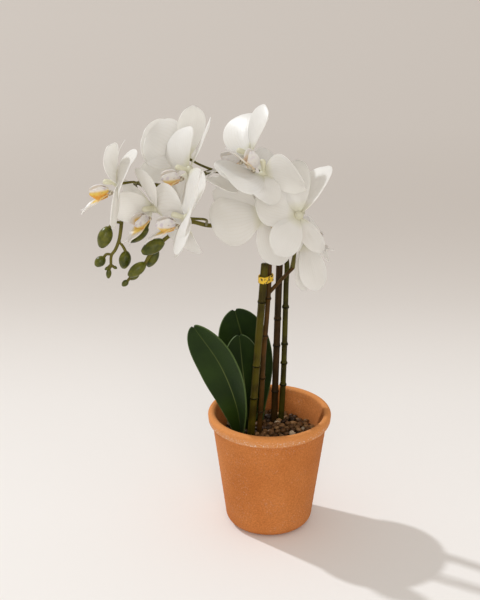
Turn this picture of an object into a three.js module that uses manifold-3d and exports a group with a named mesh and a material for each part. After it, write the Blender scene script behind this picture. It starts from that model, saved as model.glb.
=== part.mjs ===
// A moth orchid in a terracotta pot: two arching flower stems with ten white blooms and two bunches of
// buds, two canes that hold them up with a strap round one pair, three strap leaves, and pebbles over the
// potting mix.
// Millimetres, +Z up, origin at the centre of the pot's base, seen from the front along +Y.
import * as THREE from 'three';
import { mergeVertices } from 'three/addons/utils/BufferGeometryUtils.js';
import Module from 'manifold-3d';

const wasm = await Module();
wasm.setup();

// ---- Driving dimensions ----

const GAP = 0.3; // clearance between pieces that touch on the real plant

const POT_HEIGHT = 130;
const RIM_RADIUS = 65;
const RIM_HEIGHT = 13;
const RIM_WALL = 8; // thickness of the rolled rim
const WALL_TOP_RADIUS = 62; // outer wall, carried on up to the rim's top edge
const WALL_BASE_RADIUS = 44.8; // outer wall, carried on down to the table
const WALL_THICKNESS = 6;
const FLOOR_THICKNESS = 8;
const FOOT_ROUNDING = 12;
const DRAIN_RADIUS = 5;
const DRAIN_CIRCLE = 22;
const DRAIN_COUNT = 3;
const POT_SIDES = 28;

const STRAP_HEIGHT = 279.5; // middle of the strap, above the pot's base
const STRAP_WIDTH = 7;
const STRAP_THICKNESS = 1.2;

const MIX_TOP = 98;
const GRAVEL_TOP = 105;
const PEBBLE_COUNT = 15;
const PEBBLE_RADIUS = 6.4;
const SUNFLOWER_TURN = 2.39996; // radians from one pebble to the next
const STEM_FOOT = 60; // how low the canes and flower stems reach into the mix
const HOLE_RISE = 10; // how far above the pebbles a plant hole is aimed
const LEAF_HOLE_SHARE = 0.22; // radius of the hole round a leaf's foot, as a share of the leaf's width

const CANE_RADIUS = 3.8;
const THIN_CANE_RADIUS = 3.1;
const STEM_RADIUS = 2.7;
const ARCH_RADIUS = 2.1;
const STALK_RADIUS = 1.5;

const BLADE_THICKNESS = 0.9;
const LEAF_THICKNESS = 1.6;

const rad = THREE.MathUtils.degToRad;
const vec = (p) => new THREE.Vector3(...p);

// ---- Solids ----

// A closed mesh with shared corners, as a solid that can be joined and cut.
function solidOf(geometry) {
  const bare = new THREE.BufferGeometry();
  bare.setAttribute('position', geometry.getAttribute('position'));
  bare.setIndex(geometry.getIndex());
  const merged = mergeVertices(bare, 1e-4);
  const corners = merged.getIndex().array;
  const triangles = [];
  for (let i = 0; i < corners.length; i += 3) {
    const [a, b, c] = corners.slice(i, i + 3);
    if (a !== b && b !== c && c !== a) triangles.push(a, b, c);
  }
  const vertProperties = Float32Array.from(merged.getAttribute('position').array);
  const triVerts = Uint32Array.from(triangles);
  return new wasm.Manifold(new wasm.Mesh({ numProp: 3, vertProperties, triVerts }));
}

function geometryOf(solid) {
  const mesh = solid.getMesh();
  const geometry = new THREE.BufferGeometry();
  geometry.setAttribute('position', new THREE.BufferAttribute(mesh.vertProperties, mesh.numProp));
  geometry.setIndex(new THREE.BufferAttribute(mesh.triVerts, 1));
  return geometry;
}

function fuse(geometries) {
  return wasm.Manifold.union(geometries.map(solidOf));
}

// A fixed sequence of draws between 0 and 1.
function seededDraw(seed) {
  let state = seed;
  return () => {
    state = (state * 1664525 + 1013904223) % 4294967296;
    return state / 4294967296;
  };
}

// A thin closed blade over u from root to tip and v from -1 to 1 across. Both faces are split alike.
function bladeGeometry(rows, columns, thickness, pointAt) {
  const front = [];
  const back = [];
  const step = 1e-3;
  for (let i = 0; i <= rows; i++) {
    const u = 1 - (1 - i / rows) ** 1.35;
    for (let j = 0; j <= columns; j++) {
      const v = -1 + (2 * j) / columns;
      const point = pointAt(u, v);
      const along = pointAt(u + step, v).sub(pointAt(u - step, v));
      const across = pointAt(u, v + step).sub(pointAt(u, v - step));
      const normal = across.cross(along).normalize();
      front.push(point.clone().addScaledVector(normal, thickness / 2));
      back.push(point.clone().addScaledVector(normal, -thickness / 2));
    }
  }
  const at = (i, j) => i * (columns + 1) + j;
  const under = front.length;
  const faces = [];
  for (let i = 0; i < rows; i++) {
    for (let j = 0; j < columns; j++) {
      const [a, b, c, d] = [at(i, j), at(i, j + 1), at(i + 1, j + 1), at(i + 1, j)];
      faces.push(a, c, b, a, d, c);
      faces.push(under + a, under + b, under + c, under + a, under + c, under + d);
    }
  }
  const wall = (a, b) => faces.push(a, b, under + b, a, under + b, under + a);
  for (let j = 0; j < columns; j++) {
    wall(at(0, j), at(0, j + 1));
    wall(at(rows, j + 1), at(rows, j));
  }
  for (let i = 0; i < rows; i++) {
    wall(at(i + 1, 0), at(i, 0));
    wall(at(i, columns), at(i + 1, columns));
  }
  const geometry = new THREE.BufferGeometry().setFromPoints([...front, ...back]);
  geometry.setIndex(signedVolume(front.concat(back), faces) < 0 ? faces.reverse() : faces);
  return geometry;
}

function signedVolume(points, faces) {
  let volume = 0;
  for (let i = 0; i < faces.length; i += 3) {
    const [a, b, c] = faces.slice(i, i + 3).map((k) => points[k]);
    volume += a.dot(b.clone().cross(c)) / 6;
  }
  return volume;
}

// A round rod along a smooth curve through the given points.
function rod(points, radius, sides, steps) {
  const outline = new THREE.Shape();
  for (let i = 0; i < sides; i++) {
    const turn = (i / sides) * Math.PI * 2;
    const place = [Math.cos(turn) * radius, Math.sin(turn) * radius];
    if (i === 0) outline.moveTo(...place);
    else outline.lineTo(...place);
  }
  outline.closePath();
  const extrudePath = new THREE.CatmullRomCurve3(points.map(vec), false, 'centripetal');
  return new THREE.ExtrudeGeometry(outline, { steps, extrudePath, curveSegments: 1, bevelEnabled: false });
}

// Turns a shape made along +Z so that it runs along a direction, and moves it to a place.
function stand(geometry, place, direction) {
  const upright = new THREE.Vector3(0, 0, 1);
  geometry.applyQuaternion(new THREE.Quaternion().setFromUnitVectors(upright, vec(direction).normalize()));
  geometry.translate(...place);
  return geometry;
}

// A turned shape along +Z from a list of [radius, height].
function turned(profile, sides) {
  const outline = profile.map(([r, z]) => new THREE.Vector2(r, z));
  return new THREE.LatheGeometry(outline, sides).rotateX(Math.PI / 2);
}

// ---- Pot ----

const outerRadius = (z) => WALL_BASE_RADIUS + ((WALL_TOP_RADIUS - WALL_BASE_RADIUS) * z) / POT_HEIGHT;
const innerRadius = (z) => outerRadius(z) - WALL_THICKNESS;

function arc(centre, radius, from, to, steps) {
  return Array.from({ length: steps + 1 }, (_, i) => {
    const turn = rad(from + ((to - from) * i) / steps);
    return [centre[0] + Math.cos(turn) * radius, centre[1] + Math.sin(turn) * radius];
  });
}

// Thrown terracotta: a rounded foot, a tapering wall and a thick rolled rim, with drain holes in the floor.
function potGeometry() {
  const rimFoot = POT_HEIGHT - RIM_HEIGHT;
  const edge = RIM_WALL / 2;
  const rimMiddle = RIM_RADIUS - edge;
  const footWall = outerRadius(FOOT_ROUNDING);
  const profile = [
    [0, 0],
    ...arc([footWall - FOOT_ROUNDING, FOOT_ROUNDING], FOOT_ROUNDING, -90, -7, 4),
    [outerRadius(rimFoot), rimFoot],
    [RIM_RADIUS - 0.6, rimFoot + 3],
    ...arc([rimMiddle, POT_HEIGHT - edge], edge, 0, 180, 5),
    [innerRadius(rimFoot - 4), rimFoot - 4],
    [innerRadius(FLOOR_THICKNESS + 8), FLOOR_THICKNESS + 8],
    [innerRadius(FLOOR_THICKNESS) - 7, FLOOR_THICKNESS],
    [0, FLOOR_THICKNESS],
  ];
  let pot = solidOf(turned(profile, POT_SIDES));
  for (let i = 0; i < DRAIN_COUNT; i++) {
    const turn = (i / DRAIN_COUNT) * Math.PI * 2;
    const drain = new THREE.CylinderGeometry(DRAIN_RADIUS, DRAIN_RADIUS, FLOOR_THICKNESS * 3, 12);
    drain.rotateX(Math.PI / 2).translate(Math.cos(turn) * DRAIN_CIRCLE, Math.sin(turn) * DRAIN_CIRCLE, 0);
    pot = pot.subtract(solidOf(drain));
  }
  return geometryOf(pot);
}

// ---- Stems ----

// Two canes stand in the mix and hold the flower stems up.
const CANES = {
  cane_front: { foot: [-22.9, -11.5, STEM_FOOT], top: [-6, 0, 296], radius: CANE_RADIUS,
    joints: [148, 184, 255] },
  cane_back: { foot: [4.6, 31, STEM_FOOT], top: [9.8, 27, 290], radius: THIN_CANE_RADIUS,
    joints: [138, 192, 223] },
};

// The left stem climbs beside the front cane and arches over to the left.
const LEFT_STEM = {
  upright: [[-12.6, 1, STEM_FOOT], [-10.4, 1, 111], [-8.6, 1, 143], [-6.6, 1, 193], [-3.2, 1.3, 242],
    [-1.2, 3.7, 284], [-2, 24, 325], [-14, 38, 362], [-36, 38, 378]],
  arch: [[-36, 38, 378], [-57, 36, 383], [-70, 34, 380], [-84, 32, 374], [-102, 34, 368], [-120, 40, 367],
    [-137, 41, 368], [-148, 30, 354], [-151, 10, 344], [-150, -3, 341]],
  joints: [128, 167, 216, 258],
};

// The low stem stands behind and leans over to the left lower down.
const LOW_STEM = {
  upright: [[10.5, 33, STEM_FOOT], [13.8, 32, 115], [15.5, 31, 167], [16.3, 30, 218], [16.8, 30, 258],
    [17, 33, 287], [8, 44, 314], [-14, 34, 331], [-30, 18, 336]],
  arch: [[-30, 18, 336], [-46, 5, 337], [-62, -2, 338], [-83, -8, 344], [-93, -14, 339], [-99, -18, 334]],
  joints: [145, 170, 194, 236],
};

// A short branch leaves the left stem above the strap and carries the blooms on the right.
const SIDE_BRANCH = [[-2.4, 2.2, 262], [4, -1, 271], [12, -3, 281], [23, -3, 293]];

function alongPath(points, share) {
  return new THREE.CatmullRomCurve3(points.map(vec), false, 'centripetal').getPointAt(share).toArray();
}

// The place on a path that has a given height.
function atHeight(points, height) {
  for (let i = 1; i < points.length; i++) {
    const [low, high] = [points[i - 1], points[i]];
    if (low[2] <= height && height <= high[2]) {
      const share = (height - low[2]) / (high[2] - low[2]);
      return low.map((value, axis) => value + (high[axis] - value) * share);
    }
  }
  return points[points.length - 1];
}

// A thickened ring round a stem where a leaf scar sits.
function jointRing(place, direction, radius) {
  const profile = [[0, -2.6], [radius * 0.8, -2.6], [radius + 0.8, 0], [radius * 0.8, 2.6], [0, 2.6]];
  return stand(turned(profile, 6), place, direction);
}

// A straight cane, a little thicker at each of its joints.
function caneGeometry({ foot, top, radius, joints }) {
  const direction = vec(top).sub(vec(foot));
  const profile = [[0, 0], [radius, 0]];
  for (const height of joints) {
    const distance = vec(atHeight([foot, top], height)).distanceTo(vec(foot));
    profile.push([radius, distance - 2.6], [radius + 0.8, distance], [radius, distance + 2.6]);
  }
  profile.push([radius, direction.length()], [0, direction.length()]);
  return stand(turned(profile, 8), foot, direction.toArray());
}

// ---- Buds ----

// The outline of a closed bud, an egg with its narrow end at the tip: shares of its radius and its length.
const BUD_PROFILE = [[0, 0], [0.68, 0.12], [1, 0.45], [0.7, 0.83], [0, 1]];

function bud(foot, tip, radius) {
  const direction = vec(tip).sub(vec(foot)).normalize();
  const base = vec(foot).addScaledVector(direction, -1.2).toArray();
  const length = vec(tip).distanceTo(vec(base));
  const profile = BUD_PROFILE.map(([width, height]) => [radius * width, length * height]);
  return stand(turned(profile, 6), base, direction.toArray());
}

// Each twig is a path with a bud on its end: the path's points, then the bud's tip and radius.
const LEFT_BUDS = {
  spine: [[-150, 1.5, 343], [-151, -5, 333], [-153, -5, 323], [-157, -5, 313], [-161, -5, 307],
    [-162, -5, 294]],
  twigs: [
    { path: [[-150.3, -0.4, 340], [-156, -5, 342.5], [-163, -7, 337]], tip: [-171, -9, 317], radius: 7.6 },
    { path: [[-153, -5, 322], [-149, -6, 317], [-146, -7, 311]], tip: [-149, -8, 294], radius: 6.4 },
    { path: [[-161, -5, 308], [-166, -6, 308.5], [-169, -7, 305]], tip: [-177, -9, 297], radius: 5.4 },
    { path: [[-162, -5, 296], [-164, -5, 291]], tip: [-165, -5, 282], radius: 2.9 },
    { path: [[-162, -5, 297], [-165, -6, 294]], tip: [-168, -7, 292], radius: 1.8 },
    { path: [[-162, -5, 297], [-159, -4, 294]], tip: [-156, -3, 292], radius: 1.8 },
    { path: [[-138, 40, 366], [-131, 33, 352], [-124, 22, 337], [-126, 16.5, 328.5]], tip: [-145, 15, 314.5],
      radius: 7 },
  ],
};

const LOW_BUDS = {
  spine: [[-97, -17, 336], [-110, -18, 326], [-117, -18, 317], [-123, -18, 310], [-127, -18, 302],
    [-134, -18, 296], [-140, -18, 290], [-145, -18, 284]],
  twigs: [
    { path: [[-103, -18, 331], [-108, -21, 328]], tip: [-129, -24, 317], radius: 7.4 },
    { path: [[-112, -18, 324], [-115, -13, 316]], tip: [-124, -10, 297], radius: 6 },
    { path: [[-124, -18, 308], [-127, -21, 304]], tip: [-143, -24, 292], radius: 6.2 },
    { path: [[-133, -18, 297], [-134, -15, 291]], tip: [-143, -12, 284], radius: 3.8 },
    { path: [[-143, -18, 286], [-145, -18, 284]], tip: [-150, -18, 279], radius: 3.2 },
  ],
};

function budSpray({ spine, twigs }) {
  const pieces = [rod(spine, 1.5, 4, 6)];
  for (const { path, tip, radius } of twigs) {
    pieces.push(rod(path, 1.2, 3, 2));
    pieces.push(bud(path[path.length - 1], tip, radius));
  }
  return pieces;
}

// ---- Blooms ----

const HUB_RADIUS = 4.8;

// The three sepals stand behind the two broad petals. Angles run anticlockwise from the bloom's right hand.
const SEPAL = { width: 35, lean: 4, curl: -14, cup: -16, spin: 0, twist: 0, layer: -0.8 };
const PETAL = { length: 54, width: 53, lean: 6, curl: -18, cup: -12, spin: 0, twist: 0, layer: 1.2 };
const TEPALS = {
  top: { ...SEPAL, angle: 90, length: 53 },
  lowLeft: { ...SEPAL, angle: 232, length: 52, width: 34 },
  lowRight: { ...SEPAL, angle: 308, length: 52, width: 34 },
  left: { ...PETAL, angle: 172 },
  right: { ...PETAL, angle: 8 },
};

// Share of the full half width at u: a narrow claw, the widest place past the middle, a round tip.
function tepalOutline(u) {
  const rise = (u + 0.03) ** 0.8;
  const fall = Math.max(1.015 - u, 0) ** 0.46;
  return (rise * fall) / 0.441;
}

// A curved strip: it starts along `out`, turned about itself by `spin`, bends towards `face` by `curl`, and
// turns further by `twist` on its way.
function curvedPoint(u, v, { out, side, face, root, length, halfWidth, curl, cup, spin, twist }) {
  const bend = rad(curl) * u;
  const wholeBend = Math.abs(curl) < 0.01 ? 1e-4 : rad(curl);
  const reach = (length * Math.sin(wholeBend * u)) / wholeBend;
  const lift = (length * (1 - Math.cos(wholeBend * u))) / wholeBend;
  const surface = face.clone().multiplyScalar(Math.cos(bend)).addScaledVector(out, -Math.sin(bend));
  const turn = rad(spin + twist * u);
  const across = side.clone().multiplyScalar(Math.cos(turn)).addScaledVector(surface, Math.sin(turn));
  const raised = surface.clone().multiplyScalar(Math.cos(turn)).addScaledVector(side, -Math.sin(turn));
  const hollow = Math.abs(cup) < 0.01 ? 1e-4 : rad(cup);
  return root
    .clone()
    .addScaledVector(out, reach)
    .addScaledVector(face, lift)
    .addScaledVector(across, (halfWidth * Math.sin(hollow * v)) / hollow)
    .addScaledVector(raised, (halfWidth * (1 - Math.cos(hollow * v))) / hollow);
}

function tepal({ angle, length, width, lean, curl, cup, spin, twist, layer }) {
  const spoke = new THREE.Vector3(Math.cos(rad(angle)), Math.sin(rad(angle)), 0);
  const side = new THREE.Vector3(-Math.sin(rad(angle)), Math.cos(rad(angle)), 0);
  const ahead = new THREE.Vector3(0, 0, 1);
  const out = spoke.clone().multiplyScalar(Math.cos(rad(lean))).addScaledVector(ahead, Math.sin(rad(lean)));
  const face = ahead.clone().multiplyScalar(Math.cos(rad(lean))).addScaledVector(spoke, -Math.sin(rad(lean)));
  const root = spoke.clone().multiplyScalar(HUB_RADIUS - 1.4).addScaledVector(ahead, layer);
  const [rows, columns] = width > 40 ? [4, 3] : [4, 2];
  return bladeGeometry(rows, columns, BLADE_THICKNESS, (u, v) => {
    const halfWidth = (width / 2) * tepalOutline(u);
    return curvedPoint(u, v, { out, side, face, root, length, halfWidth, curl, cup, spin, twist });
  });
}

// The hub that the tepals grow from, and the blunt column in the middle.
function coreGeometry() {
  const hub = new THREE.SphereGeometry(HUB_RADIUS, 6, 4).scale(1, 1, 0.8);
  const column = turned([[0, 0], [2.6, 0], [3.3, 9], [2, 13.5], [0, 13.5]], 4);
  column.rotateX(rad(-12)).translate(0, 0.6, 1);
  return [hub, column];
}

// The white part of a bloom: hub, column and five tepals grown as one.
function petalsGeometry(bends) {
  const tepals = Object.entries(TEPALS).map(([place, shape]) => tepal({ ...shape, ...bends[place] }));
  return geometryOf(fuse([...coreGeometry(), ...tepals]));
}

// The lip hangs under the column: two ears stand beside it, and a spade-shaped lobe runs out and down to
// two curled whiskers. The ear is given for the right hand; the left one mirrors it.
const LIP_SCALE = 1.2;
const LIP_SHIFT = [0, -0.9, 0.4];
const BOSS = { at: [0, -6.2, 8.5], radius: 3, stretch: [1, 0.8, 1.5] };
const LOBE = { rows: 3, root: [0, -6.6, 8], out: [0, -0.42, 0.908], side: [1, 0, 0], face: [0, 0.908, 0.42],
  length: 24, halfWidth: 9.3, thickness: 1.4, curl: -8, cup: 16, spin: 0, twist: 0 };
const EAR = { rows: 2, root: [1.6, -5.6, 8.4], out: [0.501, 0.15, 0.852], side: [0, -0.985, 0.174],
  face: [-0.865, 0.087, 0.494], length: 16, halfWidth: 7.6, thickness: 1.3, curl: 40, cup: 22, spin: 0,
  twist: 0 };
const WHISKER = { from: [0.8, -16.6, 26.2], to: [4.4, -19.6, 31.4], radius: 0.8 };

function lobeOutline(u) {
  return Math.min(1, 0.34 + 0.9 * u) * Math.max(1.06 - u, 0) ** 0.5;
}

function earOutline(u) {
  return Math.min(1, 0.5 + 1.2 * u) * Math.max(1.03 - u, 0) ** 0.45;
}

// A strip of the lip, on the right (hand 1) or the left (hand -1).
function lipStrip(shape, outline, hand) {
  const mirrored = ([x, y, z]) => new THREE.Vector3(x * hand, y, z);
  const frame = { root: mirrored(shape.root), out: mirrored(shape.out), face: mirrored(shape.face),
    side: mirrored(shape.side).multiplyScalar(hand) };
  return bladeGeometry(shape.rows, 2, shape.thickness, (u, v) =>
    curvedPoint(u, v, { ...shape, ...frame, halfWidth: shape.halfWidth * outline(u) }));
}

function lipGeometry() {
  const boss = new THREE.SphereGeometry(BOSS.radius, 5, 3).scale(...BOSS.stretch).translate(...BOSS.at);
  const pieces = [boss, lipStrip(LOBE, lobeOutline, 1)];
  for (const hand of [-1, 1]) {
    const ends = [WHISKER.from, WHISKER.to].map(([x, y, z]) => [x * hand, y, z]);
    pieces.push(lipStrip(EAR, earOutline, hand), rod(ends, WHISKER.radius, 3, 1));
  }
  return geometryOf(fuse(pieces).translate(...LIP_SHIFT).scale(LIP_SCALE));
}

// Turns a bloom made facing +Z so that it faces an azimuth (0 to the front, 90 to the right) and a height.
function bloomPlace({ at, faces: [azimuth, height, roll] }) {
  const ahead = new THREE.Vector3(
    Math.sin(rad(azimuth)) * Math.cos(rad(height)),
    -Math.cos(rad(azimuth)) * Math.cos(rad(height)),
    Math.sin(rad(height)),
  );
  const right = new THREE.Vector3(0, 0, 1).cross(ahead).normalize();
  const up = ahead.clone().cross(right);
  const place = new THREE.Matrix4().makeBasis(right, up, ahead);
  return place.multiply(new THREE.Matrix4().makeRotationZ(-rad(roll))).setPosition(...at);
}

// Each bloom: its hub, where it faces and how far it is rolled, the stem and place along it that its stalk
// leaves from, and the tepals that bend their own way.
const BLOOMS = {
  far_left: { at: [-152, -8, 384], faces: [-85, -5, 0], from: ['left', 0.72], bends: {
    top: { angle: 62, lean: 14, length: 50, twist: -35 },
    lowLeft: { angle: 166, lean: -3, length: 43, curl: -9, spin: 20, twist: 15 },
    lowRight: { angle: 334, lean: 18, curl: -10 },
    left: { angle: 152, lean: 2, length: 45, curl: -20, twist: 20 },
    right: { angle: 39, lean: -8, length: 46, curl: -25, twist: -35 },
  } },
  left: { at: [-116, -10, 359], faces: [-50, -8, 5], from: ['left', 0.64], bends: {
    top: { angle: 81, lean: 38, curl: -38, spin: -20, twist: 25 },
    lowLeft: { angle: 178, lean: 55, length: 42, curl: -10 },
    lowRight: { angle: 251, lean: -41, length: 44, curl: -6, twist: 15 },
    left: { angle: 188, lean: 17, length: 47, curl: -40, spin: -5, twist: -15 },
    right: { angle: 20, lean: 8, length: 48, curl: -14, spin: 15, twist: -15 },
  } },
  low_left: { at: [-83, -62, 367], faces: [-90, 2, 0], from: ['low', 0.5], bends: {
    top: { angle: 76, lean: -12, curl: -2, spin: 5, twist: -15 },
    lowLeft: { angle: 261, lean: 21, length: 40, curl: -12, spin: -25, twist: 40 },
    lowRight: { angle: 352, lean: 22, curl: -42, spin: -30, twist: 5 },
    left: { angle: 229, lean: 14, length: 53, curl: -16, spin: -35, twist: -20 },
    right: { angle: 5, lean: 13, length: 44, curl: -32, spin: -35, twist: 25 },
  } },
  middle: { at: [-81, -4, 397], faces: [-78, 0, 0], from: ['left', 0.18], approach: [0.75, 0.5, -0.4],
    bends: {
    top: { angle: 110, lean: -26, curl: -2, spin: -5, twist: -5 },
    lowLeft: { angle: 264, lean: 24, length: 50, curl: -8, spin: -45, twist: 20 },
    lowRight: { angle: 317, lean: -50, curl: -40, spin: 15, twist: 60 },
    left: { angle: 139, lean: 27, length: 44, curl: -42, spin: 10, twist: 20 },
    right: { angle: 338, lean: 12, curl: -13, spin: -20, twist: -5 },
  } },
  rear: { at: [-85, 42, 395], faces: [-125, 15, 0], from: ['left', 0.13], bends: {
    top: { angle: 100, lean: 24, length: 51, curl: -20, spin: -15, twist: -5 },
    lowLeft: { angle: 181, lean: 31, length: 49, curl: -4, spin: -35, twist: 35 },
    lowRight: { angle: 318, lean: 52, length: 51, curl: -21, spin: 20, twist: -10 },
    left: { angle: 33, lean: 45, length: 44, curl: 15, spin: -25, twist: 60 },
    right: { angle: 26, lean: 57, length: 48, curl: -11, spin: 15, twist: 20 },
  } },
  crown: { at: [-21, 16, 406], faces: [-80, 10, 5], from: ['rise', 0.84], approach: [0.5, 0.35, -0.8],
    bends: {
    top: { angle: 111, lean: 12, length: 50, curl: -42, spin: 5, twist: 15 },
    lowLeft: { angle: 198, lean: 18, curl: -38, spin: 15, twist: 15 },
    lowRight: { angle: 304, lean: -4, curl: -34, spin: -145, twist: -5 },
    left: { angle: 155, lean: 12, curl: -24, spin: 20, twist: 35 },
    right: { angle: 176, lean: -2, length: 47, curl: -15, spin: -10, twist: 45 },
  } },
  inner: { at: [-8, -6, 394], faces: [-70, 70, 0], from: ['rise', 0.9], bends: {
    top: { angle: 145, lean: 10, length: 49, curl: -42, spin: 35, twist: 30 },
    lowLeft: { angle: 275, lean: 44, spin: -15, twist: -10 },
    lowRight: { angle: 340, lean: 5, length: 44, curl: -42, spin: -5, twist: -60 },
    left: { angle: 294, lean: 26, length: 46, curl: 5, spin: -15, twist: -20 },
    right: { angle: 28, lean: 6, length: 50, width: 50, curl: -42, spin: 70, twist: 50 },
  } },
  front: { at: [-7, 8, 347], faces: [30, 0, -30], from: ['low', 0], bends: {
    top: { angle: 123, lean: -27, spin: -20, twist: -15 },
    lowLeft: { angle: 247, lean: 29, curl: 4, spin: 15, twist: 20 },
    lowRight: { angle: 279, lean: 24, spin: 10, twist: 10 },
    left: { angle: 152, lean: -7, curl: -7, spin: 20, twist: 35 },
    right: { angle: 337, lean: -16, length: 49, curl: -17, spin: -35 },
  } },
  right: { at: [27, -22, 356], faces: [165, -22, 0], from: ['side', 1], approach: [-0.08, -0.4, -0.9],
    bends: {
    top: { angle: 79, lean: -1, width: 33, curl: 20, spin: -5, twist: -20 },
    lowLeft: { angle: 235, lean: 33, length: 42, width: 30, curl: -22, spin: 30, twist: 20 },
    lowRight: { angle: 288, lean: -40, length: 49, width: 33, curl: 8, spin: -15, twist: -20 },
    left: { angle: 109, lean: 13, width: 48, curl: 13, spin: -45, twist: -5 },
    right: { angle: 16, lean: -26, length: 46, width: 48, curl: -17, spin: 35, twist: -5 },
  } },
  low_right: { at: [35, 27, 313], faces: [30, 35, 0], from: ['side', 0.9], bends: {
    top: { angle: 53, lean: -38, length: 52, curl: -31, spin: -15, twist: 55 },
    lowLeft: { angle: 268, lean: -24, curl: -10, spin: -20, twist: -10 },
    lowRight: { angle: 274, lean: -2, curl: -18, spin: -5 },
    left: { angle: 3, lean: -28, curl: -29, spin: -15, twist: 15 },
    right: { angle: 41, lean: -42, length: 36, curl: -40, spin: 25, twist: 15 },
  } },
};

const STALK_PATHS = {
  left: LEFT_STEM.arch,
  rise: LEFT_STEM.upright,
  low: LOW_STEM.arch,
  side: SIDE_BRANCH,
};
const HUB_CLEARANCE = { side: 1.3, back: 0.8 }; // how far from the hub's middle a stalk ends, in hub radii
const STALK_NECK = 12; // the straight end of a stalk

// A bloom's stalk: it leaves its stem, and comes up to the hub from behind, or from where `approach`
// points to, just short of it.
function stalk({ at, faces, from: [stem, share], approach }) {
  const place = bloomPlace({ at, faces });
  const away = approach ? vec(approach).normalize() : new THREE.Vector3(0, 0, -1).transformDirection(place);
  const short = (distance) => vec(at).addScaledVector(away, distance).toArray();
  const reach = HUB_RADIUS * (approach ? HUB_CLEARANCE.side : HUB_CLEARANCE.back) + GAP;
  const path = [alongPath(STALK_PATHS[stem], share), short(reach + STALK_NECK), short(reach)];
  return rod(path, STALK_RADIUS, 3, 3);
}

function stalksFrom(stem) {
  return Object.values(BLOOMS).filter((bloom) => bloom.from[0] === stem).map(stalk);
}

function stemPieces({ upright, arch, joints }) {
  const pieces = [rod(upright, STEM_RADIUS, 6, 12), rod(arch, ARCH_RADIUS, 5, 14)];
  pieces.push(new THREE.SphereGeometry(STEM_RADIUS, 6, 4).translate(...arch[0]));
  for (const height of joints) pieces.push(jointRing(atHeight(upright, height), [0, 0, 1], STEM_RADIUS));
  return pieces;
}

// The left stem with its side branch, stalks and buds, grown as one.
function leftStemGeometry() {
  return geometryOf(fuse([
    ...stemPieces(LEFT_STEM), rod(SIDE_BRANCH, ARCH_RADIUS, 5, 4), ...budSpray(LEFT_BUDS),
    ...stalksFrom('left'), ...stalksFrom('rise'), ...stalksFrom('side'),
  ]));
}

function lowStemGeometry() {
  return geometryOf(fuse([...stemPieces(LOW_STEM), ...budSpray(LOW_BUDS), ...stalksFrom('low')]));
}

// ---- Leaves ----

const LEAVES = {
  leaf_front: { spine: [[-29, -10, 98], [-34, -13, 140], [-51, -17, 190], [-79, -20, 236]], width: 46,
    face: [-0.35, -0.8, 0.4], fold: 24 },
  leaf_middle: { spine: [[-22, 11, 98], [-25, 12, 140], [-29, 12, 178], [-32, 11, 212]], width: 42,
    face: [0.1, -0.95, 0.25], fold: 16 },
  leaf_rear: { spine: [[-12, 35, 98], [-19, 44, 140], [-27, 46, 185], [-37, 46, 226]], width: 57,
    face: [0.05, -0.95, 0.3], fold: 12 },
};

// A strap leaf's half width: a narrow folded foot, the widest place past the middle, and a blunt tip.
function leafOutline(u) {
  const widest = 0.62;
  if (u < widest) return 0.26 + 0.74 * Math.sin(((Math.max(u, 0) / widest) * Math.PI) / 2) ** 1.2;
  return Math.max(1 - ((u - widest) / (1.012 - widest)) ** 2.3, 0) ** 0.5;
}

function leafGeometry({ spine, width, face, fold }) {
  const line = new THREE.CatmullRomCurve3(spine.map(vec), false, 'centripetal');
  return bladeGeometry(7, 4, LEAF_THICKNESS, (u, v) => {
    const share = Math.min(Math.max(u, 0), 1);
    const out = line.getTangentAt(share);
    const side = out.clone().cross(vec(face)).normalize();
    const raised = side.clone().cross(out);
    const halfWidth = (width / 2) * leafOutline(u);
    const closed = rad(fold + 34 * (1 - u) ** 3);
    return line
      .getPointAt(share)
      .addScaledVector(side, halfWidth * v * Math.cos(closed))
      .addScaledVector(raised, halfWidth * Math.sqrt(v * v + 0.01) * Math.sin(closed));
  });
}

// ---- Potting mix and pebbles ----

// Plain round holes for what stands in the pot: canes, flower stems and leaf feet, as [x, y, radius, depth].
function plantHoles() {
  const holes = [];
  const standing = [...Object.values(CANES).map(({ foot, top, radius }) => ({ path: [foot, top], radius })),
    { path: LEFT_STEM.upright, radius: STEM_RADIUS }, { path: LOW_STEM.upright, radius: STEM_RADIUS }];
  for (const { path, radius } of standing) {
    const low = atHeight(path, STEM_FOOT);
    const high = atHeight(path, GRAVEL_TOP + HOLE_RISE);
    holes.push({ low, high, radius: radius + GAP });
  }
  for (const { spine, width } of Object.values(LEAVES)) {
    const [x, y, z] = spine[0];
    const high = atHeight(spine, GRAVEL_TOP + HOLE_RISE);
    holes.push({ low: [x, y, z - 2], high, radius: width * LEAF_HOLE_SHARE });
  }
  return holes;
}

function drill({ low, high, radius }) {
  const direction = vec(high).sub(vec(low));
  const length = direction.length();
  const sides = 8;
  const corner = radius / Math.cos(Math.PI / sides);
  const outline = [[0, -1], [corner, -1], [corner, length + 8], [0, length + 8]];
  return solidOf(stand(turned(outline, sides), low, direction.toArray()));
}

function drilled(solid) {
  return plantHoles().reduce((rest, hole) => rest.subtract(drill(hole)), solid);
}

function mixGeometry() {
  const floor = FLOOR_THICKNESS + GAP;
  const profile = [
    [0, floor],
    [innerRadius(FLOOR_THICKNESS) - 8, floor],
    [innerRadius(FLOOR_THICKNESS + 8) - 1, FLOOR_THICKNESS + 8],
    [innerRadius(MIX_TOP) - 0.6, MIX_TOP],
    [0, MIX_TOP],
  ];
  return geometryOf(drilled(solidOf(turned(profile, POT_SIDES))));
}

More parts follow.
